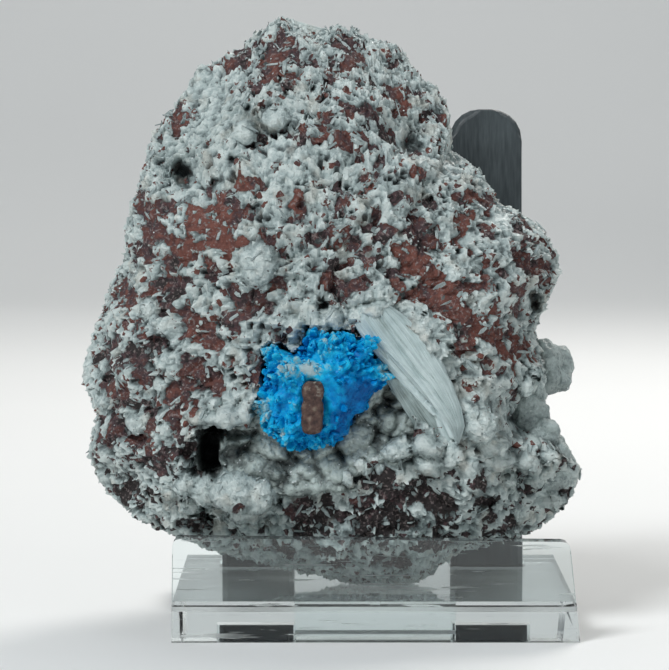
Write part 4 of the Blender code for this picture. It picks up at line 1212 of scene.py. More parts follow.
@dataclass
class Breccia:
    """The stone: a rounded form with broken faces, pits, a vug, and basalt shown by spots.

    Attributes:
        outline: x and z of its outline.
        centre: Middle of the rounded form.
        front_depth: How far it reaches forward.
        back_depth: How far it reaches back.
        squareness: Power of the superellipsoid.
        lean: How far it leans back, per millimetre of height.
        foot: Height of its flattened underside.
        blocks: Size and height of the large tilted blocks.
        flake: Size of the flakes of basalt and zeolite.
        fine: Size of the fine walls and holes.
        wall: Depth of the vug behind the rosette.
        stilbite_seat: The spot that is drawn back behind the stilbite.
        rows: Rows of points.
        front_columns: Columns of points on the front.
        back_columns: Columns of points on the back.
        noise: Where the roughness comes from.
    """

    outline: Table = OUTLINE
    centre: tuple[float, float, float] = (-5.0, 0.0, 40.0)
    front_depth: float = 20.0
    back_depth: float = 17.5
    squareness: float = 2.5
    lean: float = 0.10
    foot: float = 5.3
    blocks: tuple[tuple[float, float], ...] = ((9.0, 1.5), (4.4, 1.1))
    flake: float = 1.45
    fine: float = 0.95
    wall: float = -14.5
    stilbite_seat: tuple[float, ...] = (4.0, 37.2, 11.0, 3.9, -57)
    rows: int = 372
    front_columns: int = 264
    back_columns: int = 150
    noise: Noise = field(default_factory=lambda: Noise(3))

    def rounded(self, way: np.ndarray) -> np.ndarray:
        """Return the rounded form with its broken faces.

        The radius is (a^p + b^p)^(-1/p), where a is the direction's share of the outline's
        reach and b its share of the depth. Each broken face is a plane that the form is drawn
        back to.

        Args:
            way: Unit directions from the stone's centre.

        Returns:
            Points about the centre.
        """
        across = np.hypot(way[:, 0], way[:, 2])
        outline = np.array(self.outline)
        centre = (self.centre[0], self.centre[2])
        reach = outline_reach(outline, centre, np.arctan2(way[:, 2], way[:, 0]))
        depth = np.where(way[:, 1] < 0.0, self.front_depth, self.back_depth)
        power = self.squareness
        radius = ((across / reach) ** power + (np.abs(way[:, 1]) / depth) ** power) ** (-1.0 / power)
        places = way * radius[:, None]
        for normal, cut, level in BROKEN_FACES:
            height = places @ unit(np.array(normal))
            share = (level - cut) / np.maximum(height, 1e-6)
            places *= np.where(height > level - cut, share, 1.0)[:, None]
        return places

    def shape(self, turns: np.ndarray, shrink: float) -> tuple[Skin, np.ndarray]:
        """Build the stone's surface over a range of turns, before the vug is opened.

        Relief is laid on along each direction: tilted blocks of two sizes, each with its height,
        then flakes whose seats say whether they are basalt or zeolite, sunk or proud, with veins
        between them, then fine walls and holes, then forms and pits on the front along y.

        Args:
            turns: Angles of the columns round the upright axis.
            shrink: How far the surface is drawn in, so that one part can lie under another.

        Returns:
            The surface with its values, and the share of each point that is on the front.
        """
        lifts = np.linspace(-math.pi / 2, math.pi / 2, self.rows + 1)[1:-1]
        ball, quads, triangles = ball_grid(lifts, turns)
        way = unit(ball * np.array([33.0, 19.0, 38.0]))
        places = self.rounded(way) + np.array(self.centre)
        places[:, 1] += self.lean * (places[:, 2] - self.centre[2])
        facing = 0.30 + 0.70 * np.abs(way[:, 1])
        front = ramp(-way[:, 1], -0.32, -0.08)
        relief = -np.full(len(places), shrink)
        for size, height in self.blocks:
            block = self.noise.flakes(self.warped(places), size)
            relief += height * (0.8 * block.lean + np.minimum(block.gap, 0.5) - 0.3) * facing
        flake = self.noise.flakes(self.warped(places), self.flake)
        jitter = 0.34 * (flake.marks - 0.5)
        basalt = np.stack([self.brownness(seat, front) for seat in flake.seats]) + jitter
        brown = flake.across(ramp(basalt, 0.45, 0.55), 0.30)
        vein = flake.wall(0.10) * ramp(self.noise.layered(places + 11.0, 2.6, 2), 0.0, 0.4)
        brown = np.clip(brown - 1.1 * vein, 0.0, 1.0)
        thick = ramp(spots(places, ZEOLITE_SPOTS), -0.1, 0.3) * front
        fine = self.noise.flakes(places + 70.0, self.fine)
        rough = (1.0 - 0.55 * thick) * (1.0 - brown)
        local = 0.34 * flake.lean + 0.34 * vein - 0.42 * brown
        local += rough * (0.42 * fine.wall(0.26) + 0.34 * fine.lean - 0.12)
        local += (1.0 - rough) * 0.14 * fine.lean + 0.22 * self.noise.layered(places, 1.3, 2)
        holed = fine.marks[0] < 0.11 - 0.05 * thick
        hole = ramp(0.46 - fine.near, 0.0, 0.16) * holed * (1.0 - brown)
        relief += local - 0.9 * hole
        places = places + way * relief[:, None]
        places[:, 1] -= bulges(places, FRONT_FORMS) * ramp(-way[:, 1], 0.0, 0.42)
        read = self.warped(places)
        pit = ramp(spots(read, PITS), 0.0, 0.6) * ramp(-way[:, 1], 0.0, 0.3)
        places[:, 1] += spot_value(read, PITS, 5) * pit
        places[:, 2] = np.maximum(places[:, 2], self.foot)
        shade = np.modf(flake.marks * 7.31)[0]
        red = np.stack([self.redness(seat, front) for seat in flake.seats])
        # The value "high" paints raised places lighter, and holes and pits are painted dark: painted
        # highlight and painted shade.
        values = {
            "brown": brown,
            "tone": flake.across(red + 0.45 * (shade - 0.5), 0.2),
            "painted_shade": np.maximum(0.9 * hole, 0.62 * pit),
            "calm": thick,
            "high": np.clip(0.5 + 0.8 * local, 0.0, 1.0),
        }
        return Skin(places, quads, triangles, values=values), front

    def brownness(self, seats: np.ndarray, front: np.ndarray) -> np.ndarray:
        """Return how much basalt there is at places: over 0.5 it shows.

        Args:
            seats: Points, shape (n, 3).
            front: The share of each that is on the front, where the spots are read.

        Returns:
            One value for each point.
        """
        inside = spots(seats, BASALT_SPOTS)
        density = 0.35 + spread(seats, SPECKLED) + 0.16 * self.noise.layered(seats, 7.0, 2)
        brown = np.where(inside > -0.7, 0.55 + np.clip(0.85 * inside, -0.6, 0.22), 0.0)
        brown = np.maximum(brown, density)
        white = spots(seats, ZEOLITE_SPOTS)
        brown = np.minimum(brown, np.where(white > -0.3, 0.36 - 0.8 * white, 1.0))
        away = 0.42 + 0.30 * self.noise.layered(seats + 30.0, 5.0, 3)
        return brown * front + away * (1.0 - front)

    def redness(self, seats: np.ndarray, front: np.ndarray) -> np.ndarray:
        """Return how red the basalt is at places, from 0 to about 1."""
        red = spot_value(seats, BASALT_SPOTS, 5)
        loose = 0.34 + 0.25 * self.noise.soft(seats, 4.0)
        low = 0.40 * ramp(25.0 - seats[:, 2], 0.0, 5.0)
        red = np.where(spots(seats, BASALT_SPOTS) > -0.5, red, loose)
        return (red - low) * front + (0.40 + 0.35 * self.noise.soft(seats, 6.0)) * (1.0 - front)

    def warped(self, places: np.ndarray) -> np.ndarray:
        """Return places pushed about in x and z, so that what is read there has broken edges."""
        push = np.zeros_like(places)
        for axis, shift in ((0, 0.0), (2, 50.0)):
            push[:, axis] = 0.50 * self.noise.soft(places + shift, 2.4)
            push[:, axis] += 0.16 * self.noise.soft(places + shift, 0.8)
        return places + push

    def lumps(self, skin: Skin, front: np.ndarray, face: Front) -> None:
        """Raise domes of zeolite on the front.

        A dome's front is y = face - proud - 0.85 r sqrt(1 - d^2), where d is the distance from
        its middle in x and z over its radius r, pushed about by noise and swollen by bubbles.

        Args:
            skin: The stone's surface, which is changed.
            front: The share of each point that is on the front.
            face: The stone's face before the vug is opened.
        """
        bubbles = 0.45 * self.noise.bubbles(skin.points, 1.15)
        bubbles += 0.15 * self.noise.layered(skin.points, 0.8, 2)
        push = 0.5 * self.noise.layered(skin.points + 90.0, 2.2, 2)
        for x, z, radius, proud, tall in LUMPS:
            guess = from_sheet(x, z, -18.0)
            middle = from_sheet(x, z, float(face.at(guess[0], guess[2])))
            across = (skin.points[:, 0] - middle[0] + push) / radius
            up = (skin.points[:, 2] - middle[2] - push) / (radius * tall)
            out = np.sqrt(np.clip(1.0 - across**2 - up**2, 0.0, 1.0))
            dome = middle[1] - proud - 0.85 * radius * out - bubbles + 0.6
            raised = (out > 0.0) & (front > 0.6) & (dome < skin.points[:, 1] + 0.3)
            skin.points[raised, 1] = np.minimum(skin.points[raised, 1], dome[raised])
            chip = ramp(spots(self.warped(skin.points[raised]), BASALT_SPOTS), 0.15, 0.3)
            skin.values["brown"][raised] *= chip
            # Domes lose the painted shade and are painted lighter where they stand out most and on their
            # bubbles, a painted highlight.
            skin.values["painted_shade"][raised] = 0.0
            skin.values["calm"][raised] = 1.0
            skin.values["high"][raised] = 0.22 + 0.44 * out[raised] + 0.6 * (bubbles[raised] - 0.2)

    def open_vug(self, skin: Skin, front: np.ndarray) -> None:
        """Draw the front back behind the rosette, the druse, its gaps and the stilbite.

        The wall is the smallest y that the front may have at a place: the deepest of what each
        of the four asks for there.

        Args:
            skin: The stone's surface, which is changed.
            front: The share of each point that is on the front.
        """
        read = self.warped(skin.points)
        part = rosette_part(read)
        wall = self.wall - 60.0 * np.maximum(part - 0.93, 0.0)
        druse = np.maximum(spots(read, DRUSE_SPOTS), spots(read, GAPS))
        wall = np.maximum(wall, -14.0 - 12.0 * (1.0 - ramp(druse, 0.02, 0.20)))
        hole = spots(read, GAPS[:2])
        wall = np.maximum(wall, np.where(hole > -0.1, -12.0 + 14.0 * ramp(hole, -0.05, 0.4), -99.0))
        seat = spots(skin.points, (self.stilbite_seat,))
        wall = np.maximum(wall, np.where(seat > 0.0, -18.0 - 3.0 * (1.0 - ramp(seat, 0.0, 0.3)), -99.0))
        before = skin.points[:, 1].copy()
        skin.points[:, 1] = np.where(front > 0.5, np.maximum(before, wall), before)
        # Far back, less basalt shows and the place is painted dark, a painted shade.
        deep = ramp(skin.points[:, 1] - before, 1.5, 7.0)
        skin.values["brown"] *= 1.0 - 0.8 * deep
        skin.values["painted_shade"] = np.maximum(skin.values["painted_shade"], 0.9 * deep)

    def build(self) -> list[Skin]:
        """Build the front and the back of the stone, each a closed surface.

        The columns of the front lie closest together in its middle. The back is drawn in a
        little, so that it lies under the front where they overlap.

        Returns:
            The front, then the back.
        """
        wide = np.linspace(-1.0, 1.0, self.front_columns)
        front_turns = math.radians(104.0) * (0.72 * wide + 0.28 * wide**3)
        back_turns = np.radians(np.linspace(100.0, 260.0, self.back_columns))
        skins = []
        for turns, shrink in ((front_turns, 0.0), (back_turns, 0.12)):
            skin, front = self.shape(turns, shrink)
            if not skins:
                face = Front.of(skin.points[front > 0.6])
            self.open_vug(skin, front)
            self.lumps(skin, front, face)
            skins.append(skin)
        return skins


def rosette_part(places: np.ndarray) -> np.ndarray:
    """Return how far places lie from the rosette's middle on the sheet, over its outline's reach."""
    x, z = VIEW.sheet(places)
    outline = np.array(ROSETTE_OUTLINE)
    centre = outline.mean(axis=0)
    reach = outline_reach(outline, tuple(centre), np.arctan2(z - centre[1], x - centre[0]))
    return np.hypot(x - centre[0], z - centre[1]) / reach


@dataclass
class Druse:
    """The grey crust of crystals that lines the vug."""

    centre: tuple[float, float] = (-6.5, 27.6)
    reach: tuple[float, float] = (20.6, 12.4)
    thickness: float = 1.7
    knob: float = 2.9
    small_knob: float = 1.2
    noise: Noise = field(default_factory=lambda: Noise(11))

    def build(self) -> Skin:
        """Build the crust.

        A disc of rings is laid over the vug in x and z. Its front comes forward from the rosette
        down to the stone's lower edge as a shelf, sinks in the gaps, and is swollen by round
        knobs of two sizes. The back follows the front, one thickness behind it.

        Returns:
            The closed crust.
        """
        lifts = np.concatenate([np.linspace(-1.5, -0.2, 9), np.linspace(0.0, 1.56, 150)])
        turns = np.linspace(-math.pi, math.pi, 300, endpoint=False)
        ball, quads, triangles = ball_grid(lifts, turns)
        lift = np.arcsin(ball[:, 2])
        turn = np.arctan2(ball[:, 0], -ball[:, 1])
        out = 1.0 - np.abs(lift) / (math.pi / 2)
        edge = 1.0 + 0.05 * np.sin(5.0 * turn + 1.0) + 0.03 * np.sin(11.0 * turn)
        x = self.centre[0] + self.reach[0] * out * edge * np.sin(turn)
        z = self.centre[1] + self.reach[1] * out * edge * np.cos(turn)
        shelf = ramp(26.5 - z, 0.0, 6.5)
        flat = np.stack([x, np.full(len(x), -18.0), z], axis=-1)
        shown = ramp(spots(flat, DRUSE_SPOTS), -0.35, -0.05)
        behind_rosette = ramp(0.93 - rosette_part(flat), 0.0, 0.15)
        y = -17.8 - 2.3 * shelf + 4.0 * (1.0 - shown) + 3.0 * behind_rosette
        hole = spots(flat, GAPS[:2])
        dim = spots(flat, GAPS[2:])
        y += 12.0 * ramp(hole, -0.12, 0.45) + 3.0 * ramp(dim, -0.1, 0.6)
        points = np.stack([x, y, z], axis=-1)
        push = np.stack([self.noise.soft(points + shift, 1.6) for shift in (0.0, 20.0, 40.0)], axis=-1)
        flat[:, 1] = 1.5
        coarse = self.noise.flakes(flat + 0.5 * push, self.knob)
        fine = self.noise.flakes(flat + 0.3 * push, self.small_knob)
        knob = np.sqrt(np.clip(1.0 - (coarse.near / 0.70) ** 2, 0.0, 1.0))
        small = np.sqrt(np.clip(1.0 - (fine.near / 0.72) ** 2, 0.0, 1.0))
        swell = 2.1 * knob + 0.6 * small + 0.25 * self.noise.layered(points, 1.4, 2)
        crease = 0.75 * (1.0 - ramp(knob, 0.15, 0.75)) + 0.4 * (1.0 - ramp(small, 0.1, 0.7))
        swell = (swell - 1.3) * ramp(1.0 - out, 0.0, 0.12)
        points[:, 1] -= swell
        points[lift < 0.0, 1] += self.thickness
        skin = Skin(points, quads, triangles)
        # Deep gaps, dim gaps and the creases between knobs are painted dark, a painted shade.
        dark = 0.85 * ramp(hole, -0.25, 0.3) + 0.5 * ramp(dim, -0.3, 0.5) + 0.7 * crease
        skin.values["painted_shade"] = np.clip(dark, 0.0, 0.95)
        # Knob tops are painted lighter, a painted highlight, over each knob's own random tone.
        marks = 0.5 * (coarse.marks[0] - 0.5) + 0.3 * (fine.marks[0] - 0.5)
        skin.values["high"] = 0.5 * ramp(knob, 0.5, 1.0) + 0.3 * small + marks
        return skin


@dataclass
class Knobs:
    """Balls of zeolite that stand clear of the stone."""

    rows: int = 70
    size: float = 0.88
    noise: Noise = field(default_factory=lambda: Noise(17))

    def build(self) -> Skin:
        """Build every ball of the table as one skin."""
        skins = []
        for x, y, z, radius, tall in KNOBS:
            radii = np.array([radius, radius, radius * tall]) * self.size
            centre = np.array([x, y, z])
            bubble = 0.45 * radius + 0.4
            skin = bubbly_ball(centre, radii, self.rows, self.noise, bubble, 0.30 * radius**0.6)
            # Each ball is painted darker on its lower side and lighter towards its top: painted shade and
            # painted light.
            skin.values["painted_shade"] = 0.25 * ramp(centre[2] - skin.points[:, 2], 0.0, radius)
            skin.values["high"] = 0.4 + 0.3 * ramp(skin.points[:, 2] - centre[2], -radius, radius)
            skins.append(skin)
        return join(skins)


@dataclass
class Rosette:
    """Cavansite: a lumpy mass with crystals standing on it, told apart by tone."""

    depth: float = 5.0
    power: float = 2.3
    lobes: tuple[tuple[float, float, float], ...] = (
        (3.4, 1.7, 0.0), (1.7, 1.2, 9.0), (0.8, 0.36, 21.0),
    )
    blades: int = 1100
    noise: Noise = field(default_factory=lambda: Noise(23))

    def tone(self, places: np.ndarray) -> np.ndarray:
        """Return how light the blue is: 0 deep, 1 coated and pale."""
        tone = 0.41 + spread(places, TONES) + 0.10 * self.noise.layered(places, 1.6, 3)
        return np.clip(tone, 0.02, 1.0)

    def mass(self) -> Skin:
        """Build the mass.

        It is star-shaped about its middle: the outline's reach across and a fixed depth, joined
        as a superellipsoid, then swollen by lobes, each row of which gives their size, their
        height and a shift that keeps them apart from the others. Where the rosette is smooth
        they are lower and fine folds cross them. Behind the chip the swelling is taken away.

        Returns:
            The closed mass.
        """
        ball, quads, triangles = even_ball(190, 300)
        way = unit(ball * np.array([8.6, 5.0, 7.6]))
        outline = from_sheet(*np.array(ROSETTE_OUTLINE).T, -19.6)[:, [0, 2]]
        centre = outline.mean(axis=0)
        across = np.hypot(way[:, 0], way[:, 2])
        reach = outline_reach(outline, tuple(centre), np.arctan2(way[:, 2], way[:, 0])) - 0.85
        power = self.power
        radius = ((across / reach) ** power + (np.abs(way[:, 1]) / self.depth) ** power) ** (-1.0 / power)
        middle = np.array([centre[0], -18.6, centre[1]])
        places = middle + way * radius[:, None]
        smooth = np.clip(spread(places, SMOOTH), 0.0, 1.0)
        swell = np.zeros(len(places))
        for size, height, shift in self.lobes:
            near = self.noise.flakes(places + shift, size).near
            flattened = 0.75 if size < 1.0 else 0.4
            swell += height * (0.75 - near) * (1.0 - flattened * smooth)
        turn = (places[:, 0] * 0.9 - places[:, 2] * 0.55) * 2.3
        fold = np.sin(turn + 1.3 * self.noise.soft(places, 2.2))
        swell += 0.24 * smooth * fold
        by_chip = np.hypot((places[:, 0] + 8.1) / 1.45, (places[:, 2] - 30.6) / 3.4)
        swell -= ramp(1.12 - by_chip, 0.0, 0.3) * np.maximum(swell + 0.2, 0.0)
        outward = swell * np.minimum(1.0, 0.4 + np.abs(way[:, 1]))
        skin = Skin(places + way * outward[:, None], quads, triangles)
        # Lobes that swell out and the crests of the folds are painted lighter and the creases between
        # them deeper: painted light and shade over the table's tones.
        skin.values["tone"] = self.tone(places) + (swell - 0.3) * (0.34 - 0.22 * smooth)
        skin.values["tone"] += 0.05 * smooth * fold
        return skin

    def grown(self, mass: Skin) -> Skin:
        """Build the small crystals that stand on the front of the mass.

        They are drawn more often away from the middle, and hardly where the mass is smooth or
        behind the chip. Each points away from the middle, turned towards the surface's normal.

        Args:
            mass: The rosette's mass.

        Returns:
            The crystals.
        """
        draw = np.random.default_rng(5)
        normals = point_normals(mass)
        smooth = np.clip(spread(mass.points, SMOOTH), 0.0, 1.0)
        weight = np.clip(-normals[:, 1] + 0.45, 0.0, 1.0) * (1.0 - 0.96 * smooth)
        weight *= np.hypot(mass.points[:, 0] + 6.4, mass.points[:, 2] - 32.5) + 1.5
        weight *= np.hypot((mass.points[:, 0] + 8.1) / 1.8, (mass.points[:, 2] - 30.5) / 3.9) > 1.0
        chosen = draw.choice(len(mass.points), self.blades, replace=False, p=weight / weight.sum())
        roots = mass.points[chosen] - normals[chosen] * 0.4
        middle = np.array([-6.6, -16.0, 32.6])
        loose = draw.normal(size=roots.shape) * 0.42
        way = unit(unit(roots - middle) * 0.8 + normals[chosen] * 0.5 + loose)
        big = draw.random(len(roots)) ** 2.2
        length = 0.6 + 1.2 * big
        length *= np.where(rosette_part(roots + way * length[:, None]) > 1.02, 0.5, 1.0)
        width = 0.34 + 0.75 * big
        tips = roots + way * length[:, None]
        skin = crystals(roots, tips, width, 0.45, draw.normal(size=roots.shape), Habit.CHISEL)
        shares = np.repeat([share for share, _ in Habit.CHISEL.value], 4)
        # Each crystal takes the mass's tone at its root, painted light and shade included.
        tone = np.repeat(mass.values["tone"][chosen], len(shares)) * 0.6 + self.tone(skin.points) * 0.4
        share = np.tile(shares, len(roots))
        each = np.repeat(draw.uniform(-0.10, 0.10, len(roots)), len(shares))
        skin.values["tone"] = np.clip(tone + 0.26 * (share - 0.5) + each, 0.0, 1.0)
        return skin

    def spikes(self) -> Skin:
        """Build the long crystals at the rim."""
        tips = from_sheet(*np.array([row[2:4] for row in SPIKES]).T, -20.0)
        roots = from_sheet(*np.array([row[0:2] for row in SPIKES]).T, -19.2)
        widths = np.array([row[4] for row in SPIKES])
        facing = np.tile([0.2, -1.0, 0.3], (len(SPIKES), 1))
        skin = crystals(roots, tips, widths, 0.6, facing, Habit.SHARD)
        skin.values["tone"] = np.tile(np.repeat([0.55, 0.74, 0.86], 4), len(SPIKES))
        return skin

    def build(self) -> list[Skin]:
        """Build the mass, and the crystals that stand on it."""
        mass = self.mass()
        return [mass, join([self.grown(mass), self.spikes()])]


@dataclass
class Chip:
    """The brown block of basalt held in the rosette."""

    radii: tuple[float, float, float] = (1.35, 1.15, 3.35)
    power: float = 5.0
    place: tuple[float, float, float] = (-8.1, -23.9, 30.3)
    noise: Noise = field(default_factory=lambda: Noise(31))

    def build(self) -> Skin:
        """Build the block: a superellipsoid with a waist, roughened."""
        ball, quads, triangles = even_ball(70, 90)
        radius = ((np.abs(ball) / self.radii) ** self.power).sum(axis=1) ** (-1.0 / self.power)
        places = ball * radius[:, None]
        waist = np.exp(-(((places[:, 2] - 0.9) / 0.45) ** 2))
        places[:, 0] *= 1.0 - 0.16 * waist + 0.05 * ramp(places[:, 2], 1.0, 2.0)
        places[:, 0] += 0.10 * places[:, 2] * 0.3
        places += self.place
        near = self.noise.flakes(places, 1.1).near
        rough = 0.20 * (0.6 - near) * (1.0 - ramp(places[:, 2], 32.4, 33.2))
        places += ball * (rough + 0.08 * self.noise.layered(places, 0.6, 2))[:, None]
        skin = Skin(places, quads, triangles)
        skin.values["pale"] = ramp(places[:, 2], 30.9, 32.6)
        return skin


@dataclass(frozen=True)
class Fan:
    """Blades side by side, given by the first and the last one.

    Attributes:
        roots: Sheet places where the first and the last blade start.
        tips: Sheet places where they end.
        rises: How far they stand forward.
        shade: How light the blades are, 0 being middling.
        width: Their mean width.
        count: How many there are.
        seed: Number that fixes their small differences.
    """

    roots: tuple[tuple[float, float], tuple[float, float]]
    tips: tuple[tuple[float, float], tuple[float, float]]
    rises: tuple[float, float]
    shade: float
    width: float
    count: int
    seed: int


FANS = (
    Fan(((3.0, 42.4), (6.2, 41.0)), ((10.4, 27.6), (11.2, 28.2)), (2.3, 2.9), 0.62, 1.5, 5, 2),
    Fan(((0.2, 42.6), (2.0, 38.6)), ((3.2, 35.2), (7.6, 30.8)), (1.2, 1.7), 0.36, 1.0, 8, 3),
    Fan(((1.6, 35.8), (5.2, 34.6)), ((5.2, 29.8), (9.4, 28.4)), (1.6, 2.2), -0.06, 1.2, 9, 4),
    Fan(((2.2, 34.6), (6.0, 33.6)), ((6.4, 29.2), (9.8, 28.2)), (1.2, 1.7), -0.25, 0.9, 7, 5),
)


@dataclass
class Stilbite:
    """The sheaf of pearly blades."""

    stations: int = 60
    sides: int = 16
    seat: float = -18.7
    noise: Noise = field(default_factory=lambda: Noise(37))

    def blade(self, root: np.ndarray, tip: np.ndarray, width: float, thick: float, mark: float) -> Skin:
        """Build one blade.

        A lens-shaped ring is carried from root to tip on a shallow arch that swells towards the
        viewer. It widens over the first third and comes to a slanting edge at its end.

        Args:
            root: Where it starts.
            tip: Where it ends.
            width: Its width.
            thick: Its thickness.
            mark: A number of its own, for its lines.

        Returns:
            The closed blade.
        """
        share = np.linspace(0.0, 1.0, self.stations)
        turn = np.linspace(0.0, math.tau, self.sides, endpoint=False)
        along = unit(tip - root)
        side = unit(np.cross(along, np.array([0.12 * math.sin(mark * 9.0), -1.0, 0.1])))
        up = unit(np.cross(side, along))
        centre = root + (tip - root) * share[:, None]
        centre[:, 1] -= np.sin(share * math.pi) * 0.5
        end = np.clip((share - 0.93) / 0.07, 0.0, None)
        size = np.minimum(0.6 + 1.1 * share, 1.0) * (1.0 - end**1.6 * 0.92)
        flat = np.sign(np.sin(turn)) * np.abs(np.sin(turn)) ** 0.7
        ring = np.outer(size, np.cos(turn))[..., None] * side * width / 2.0
        ring = ring + np.outer(np.sqrt(size), flat)[..., None] * up * thick / 2.0
        slant = np.where(share > 0.9, 0.5 * size, 0.0)
        ring = ring + np.outer(slant, np.cos(turn))[..., None] * along
        points = (centre[:, None] + ring).reshape(-1, 3)
        points = np.concatenate([points, root[None], tip[None]])
        skin = Skin(points, *tube_faces(self.stations, self.sides))
        skin.values["along"] = np.append(np.repeat(share, self.sides), [0.0, 1.0])
        skin.values["across"] = np.append(np.tile(np.cos(turn) * 0.5 + 0.5, self.stations), [0.5, 0.5])
        skin.values["blade"] = np.full(len(points), mark)
        return skin

    def fan(self, fan: Fan) -> list[Skin]:
        """Build the blades of a fan, each between the first and the last one with a little play."""
        draw = np.random.default_rng(fan.seed)
        skins = []
        for index in range(fan.count):
            share = (index + 0.5) / fan.count
            root, tip, rise = (
                np.array(first) * (1 - share) + np.array(last) * share
                for first, last in (fan.roots, fan.tips, fan.rises)
            )
            root = root + draw.normal(size=2) * 0.35
            tip = tip + draw.normal(size=2) * np.array([0.15, 0.5])
            high = rise + draw.uniform(-0.25, 0.25) + 0.8 * math.sin(math.pi * share)
            ends = [from_sheet(*root, -18.4 - high * 0.5), from_sheet(*tip, -16.6 - high)]
            skin = self.blade(*ends, fan.width * draw.uniform(0.7, 1.3), 0.5, draw.random() * 5.0)
            skin.values["shade"] = np.full(len(skin.points), fan.shade + draw.uniform(-0.10, 0.10))
            skins.append(skin)
        return skins

    def band(self) -> Skin:
        """Build the broad band of blades grown side by side.

        A ring is carried from root to tip. At each share of the length it reaches from the left
        edge to the right one, flat behind and in front swollen and stepped by long narrow cells,
        each a blade of its own height and tilt.

        Returns:
            The closed band.
        """
        share = np.linspace(0.0, 1.0, 170)
        side = np.concatenate([np.linspace(-1.0, 1.0, 130), np.linspace(1.0, -1.0, 32)[1:-1]])
        front = np.concatenate([np.ones(130), np.zeros(30)])
        edges = np.array(BAND_EDGES)
        spread_out = [np.interp(share, edges[:, 0], edges[:, column]) for column in range(1, 5)]
        left_x, left_z, right_x, right_z = (values[:, None] for values in spread_out)
        width = np.hypot(right_x - left_x, right_z - left_z)
        length, half = np.meshgrid(share, side * 0.5 + 0.5, indexing="ij")
        long_cells = np.stack([(half - 0.5) * 7.0, length * 1.7, 0.0 * length], axis=-1).reshape(-1, 3)
        blades = self.noise.flakes(long_cells, 1.0)
        lines = self.noise.flakes(long_cells * np.array([2.6, 1.6, 1.0]) + 9.0, 1.0)
        step = 0.55 * blades.across(blades.marks - 0.5, 0.12) + 0.5 * blades.lean
        step += 0.22 * lines.across(lines.marks - 0.5, 0.2) + 0.18 * lines.lean
        step = step.reshape(length.shape) * np.minimum(1.0, width / 3.0)
        ragged = (blades.marks[0].reshape(length.shape) - 0.5) * 1.2 * np.abs(side[None]) ** 6
        x = left_x + (right_x - left_x) * half - ragged * (side[None] < 0)
        z = left_z + (right_z - left_z) * half - ragged
        swell = np.sqrt(np.clip(1.0 - side[None] ** 2, 0.0, 1.0)) * np.minimum(1.0, width / 3.5)
        depth = self.seat - 1.9 * length * (1.4 - length) - front[None] * (1.1 * swell + 0.5 * step + 0.3)
        depth = depth + (1.0 - front[None]) * 0.7 * swell
        points = from_sheet(x, z, depth).reshape(-1, 3)
        count = len(side)
        ends = np.stack([points[:count].mean(axis=0), points[-count:].mean(axis=0)])
        quads, caps = tube_faces(len(share), count)
        # These rings run the other way round, so each face is read backwards.
        skin = Skin(np.concatenate([points, ends]), quads[:, [0, 3, 2, 1]], caps[:, [0, 2, 1]])
        skin.values["along"] = np.append(length.ravel() * 2.2, [0.0, 2.2])
        skin.values["across"] = np.append(half.ravel() * 5.0, [2.5, 2.5])
        skin.values["blade"] = np.append(blades.marks[0] * 0.4, [0.0, 0.0])
        skin.values["shade"] = np.append(0.42 + 0.35 * step.ravel() + 0.15 * length.ravel(), [0.4, 0.4])
        return skin

    def build(self) -> Skin:
        """Build the broad band and the fans along its edges and below it."""
        return join([self.band(), *(blade for fan in FANS for blade in self.fan(fan))])


def sharp_copy(node: str, name: str, material: bpy.types.Material, edge: float) -> None:
    """Add a copy of a CAD node with its triangles merged into flat faces and its edges rounded.

    Args:
        node: The CAD node.
        name: The new piece's name.
        material: Its finish.
        edge: Width of the rounded edges, in millimetres.
    """
    shape = bmesh.new()
    shape.from_mesh(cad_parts[node].data)
    bmesh.ops.remove_doubles(shape, verts=shape.verts, dist=0.002 * MM)
    bmesh.ops.dissolve_limit(shape, angle_limit=math.radians(1.0), verts=shape.verts, edges=shape.edges)
    mesh = bpy.data.meshes.new(name)
    shape.to_mesh(mesh)
    shape.free()
    mesh.materials.clear()
    piece = link_piece(name, mesh, material)
    rounded = piece.modifiers.new("Edges", "BEVEL")
    rounded.width = edge * MM
    rounded.segments = 2
    rounded.limit_method = "ANGLE"
    rounded.angle_limit = math.radians(25.0)
    rounded.harden_normals = False
    stand_for(piece, node)
    log.info("%s", name)


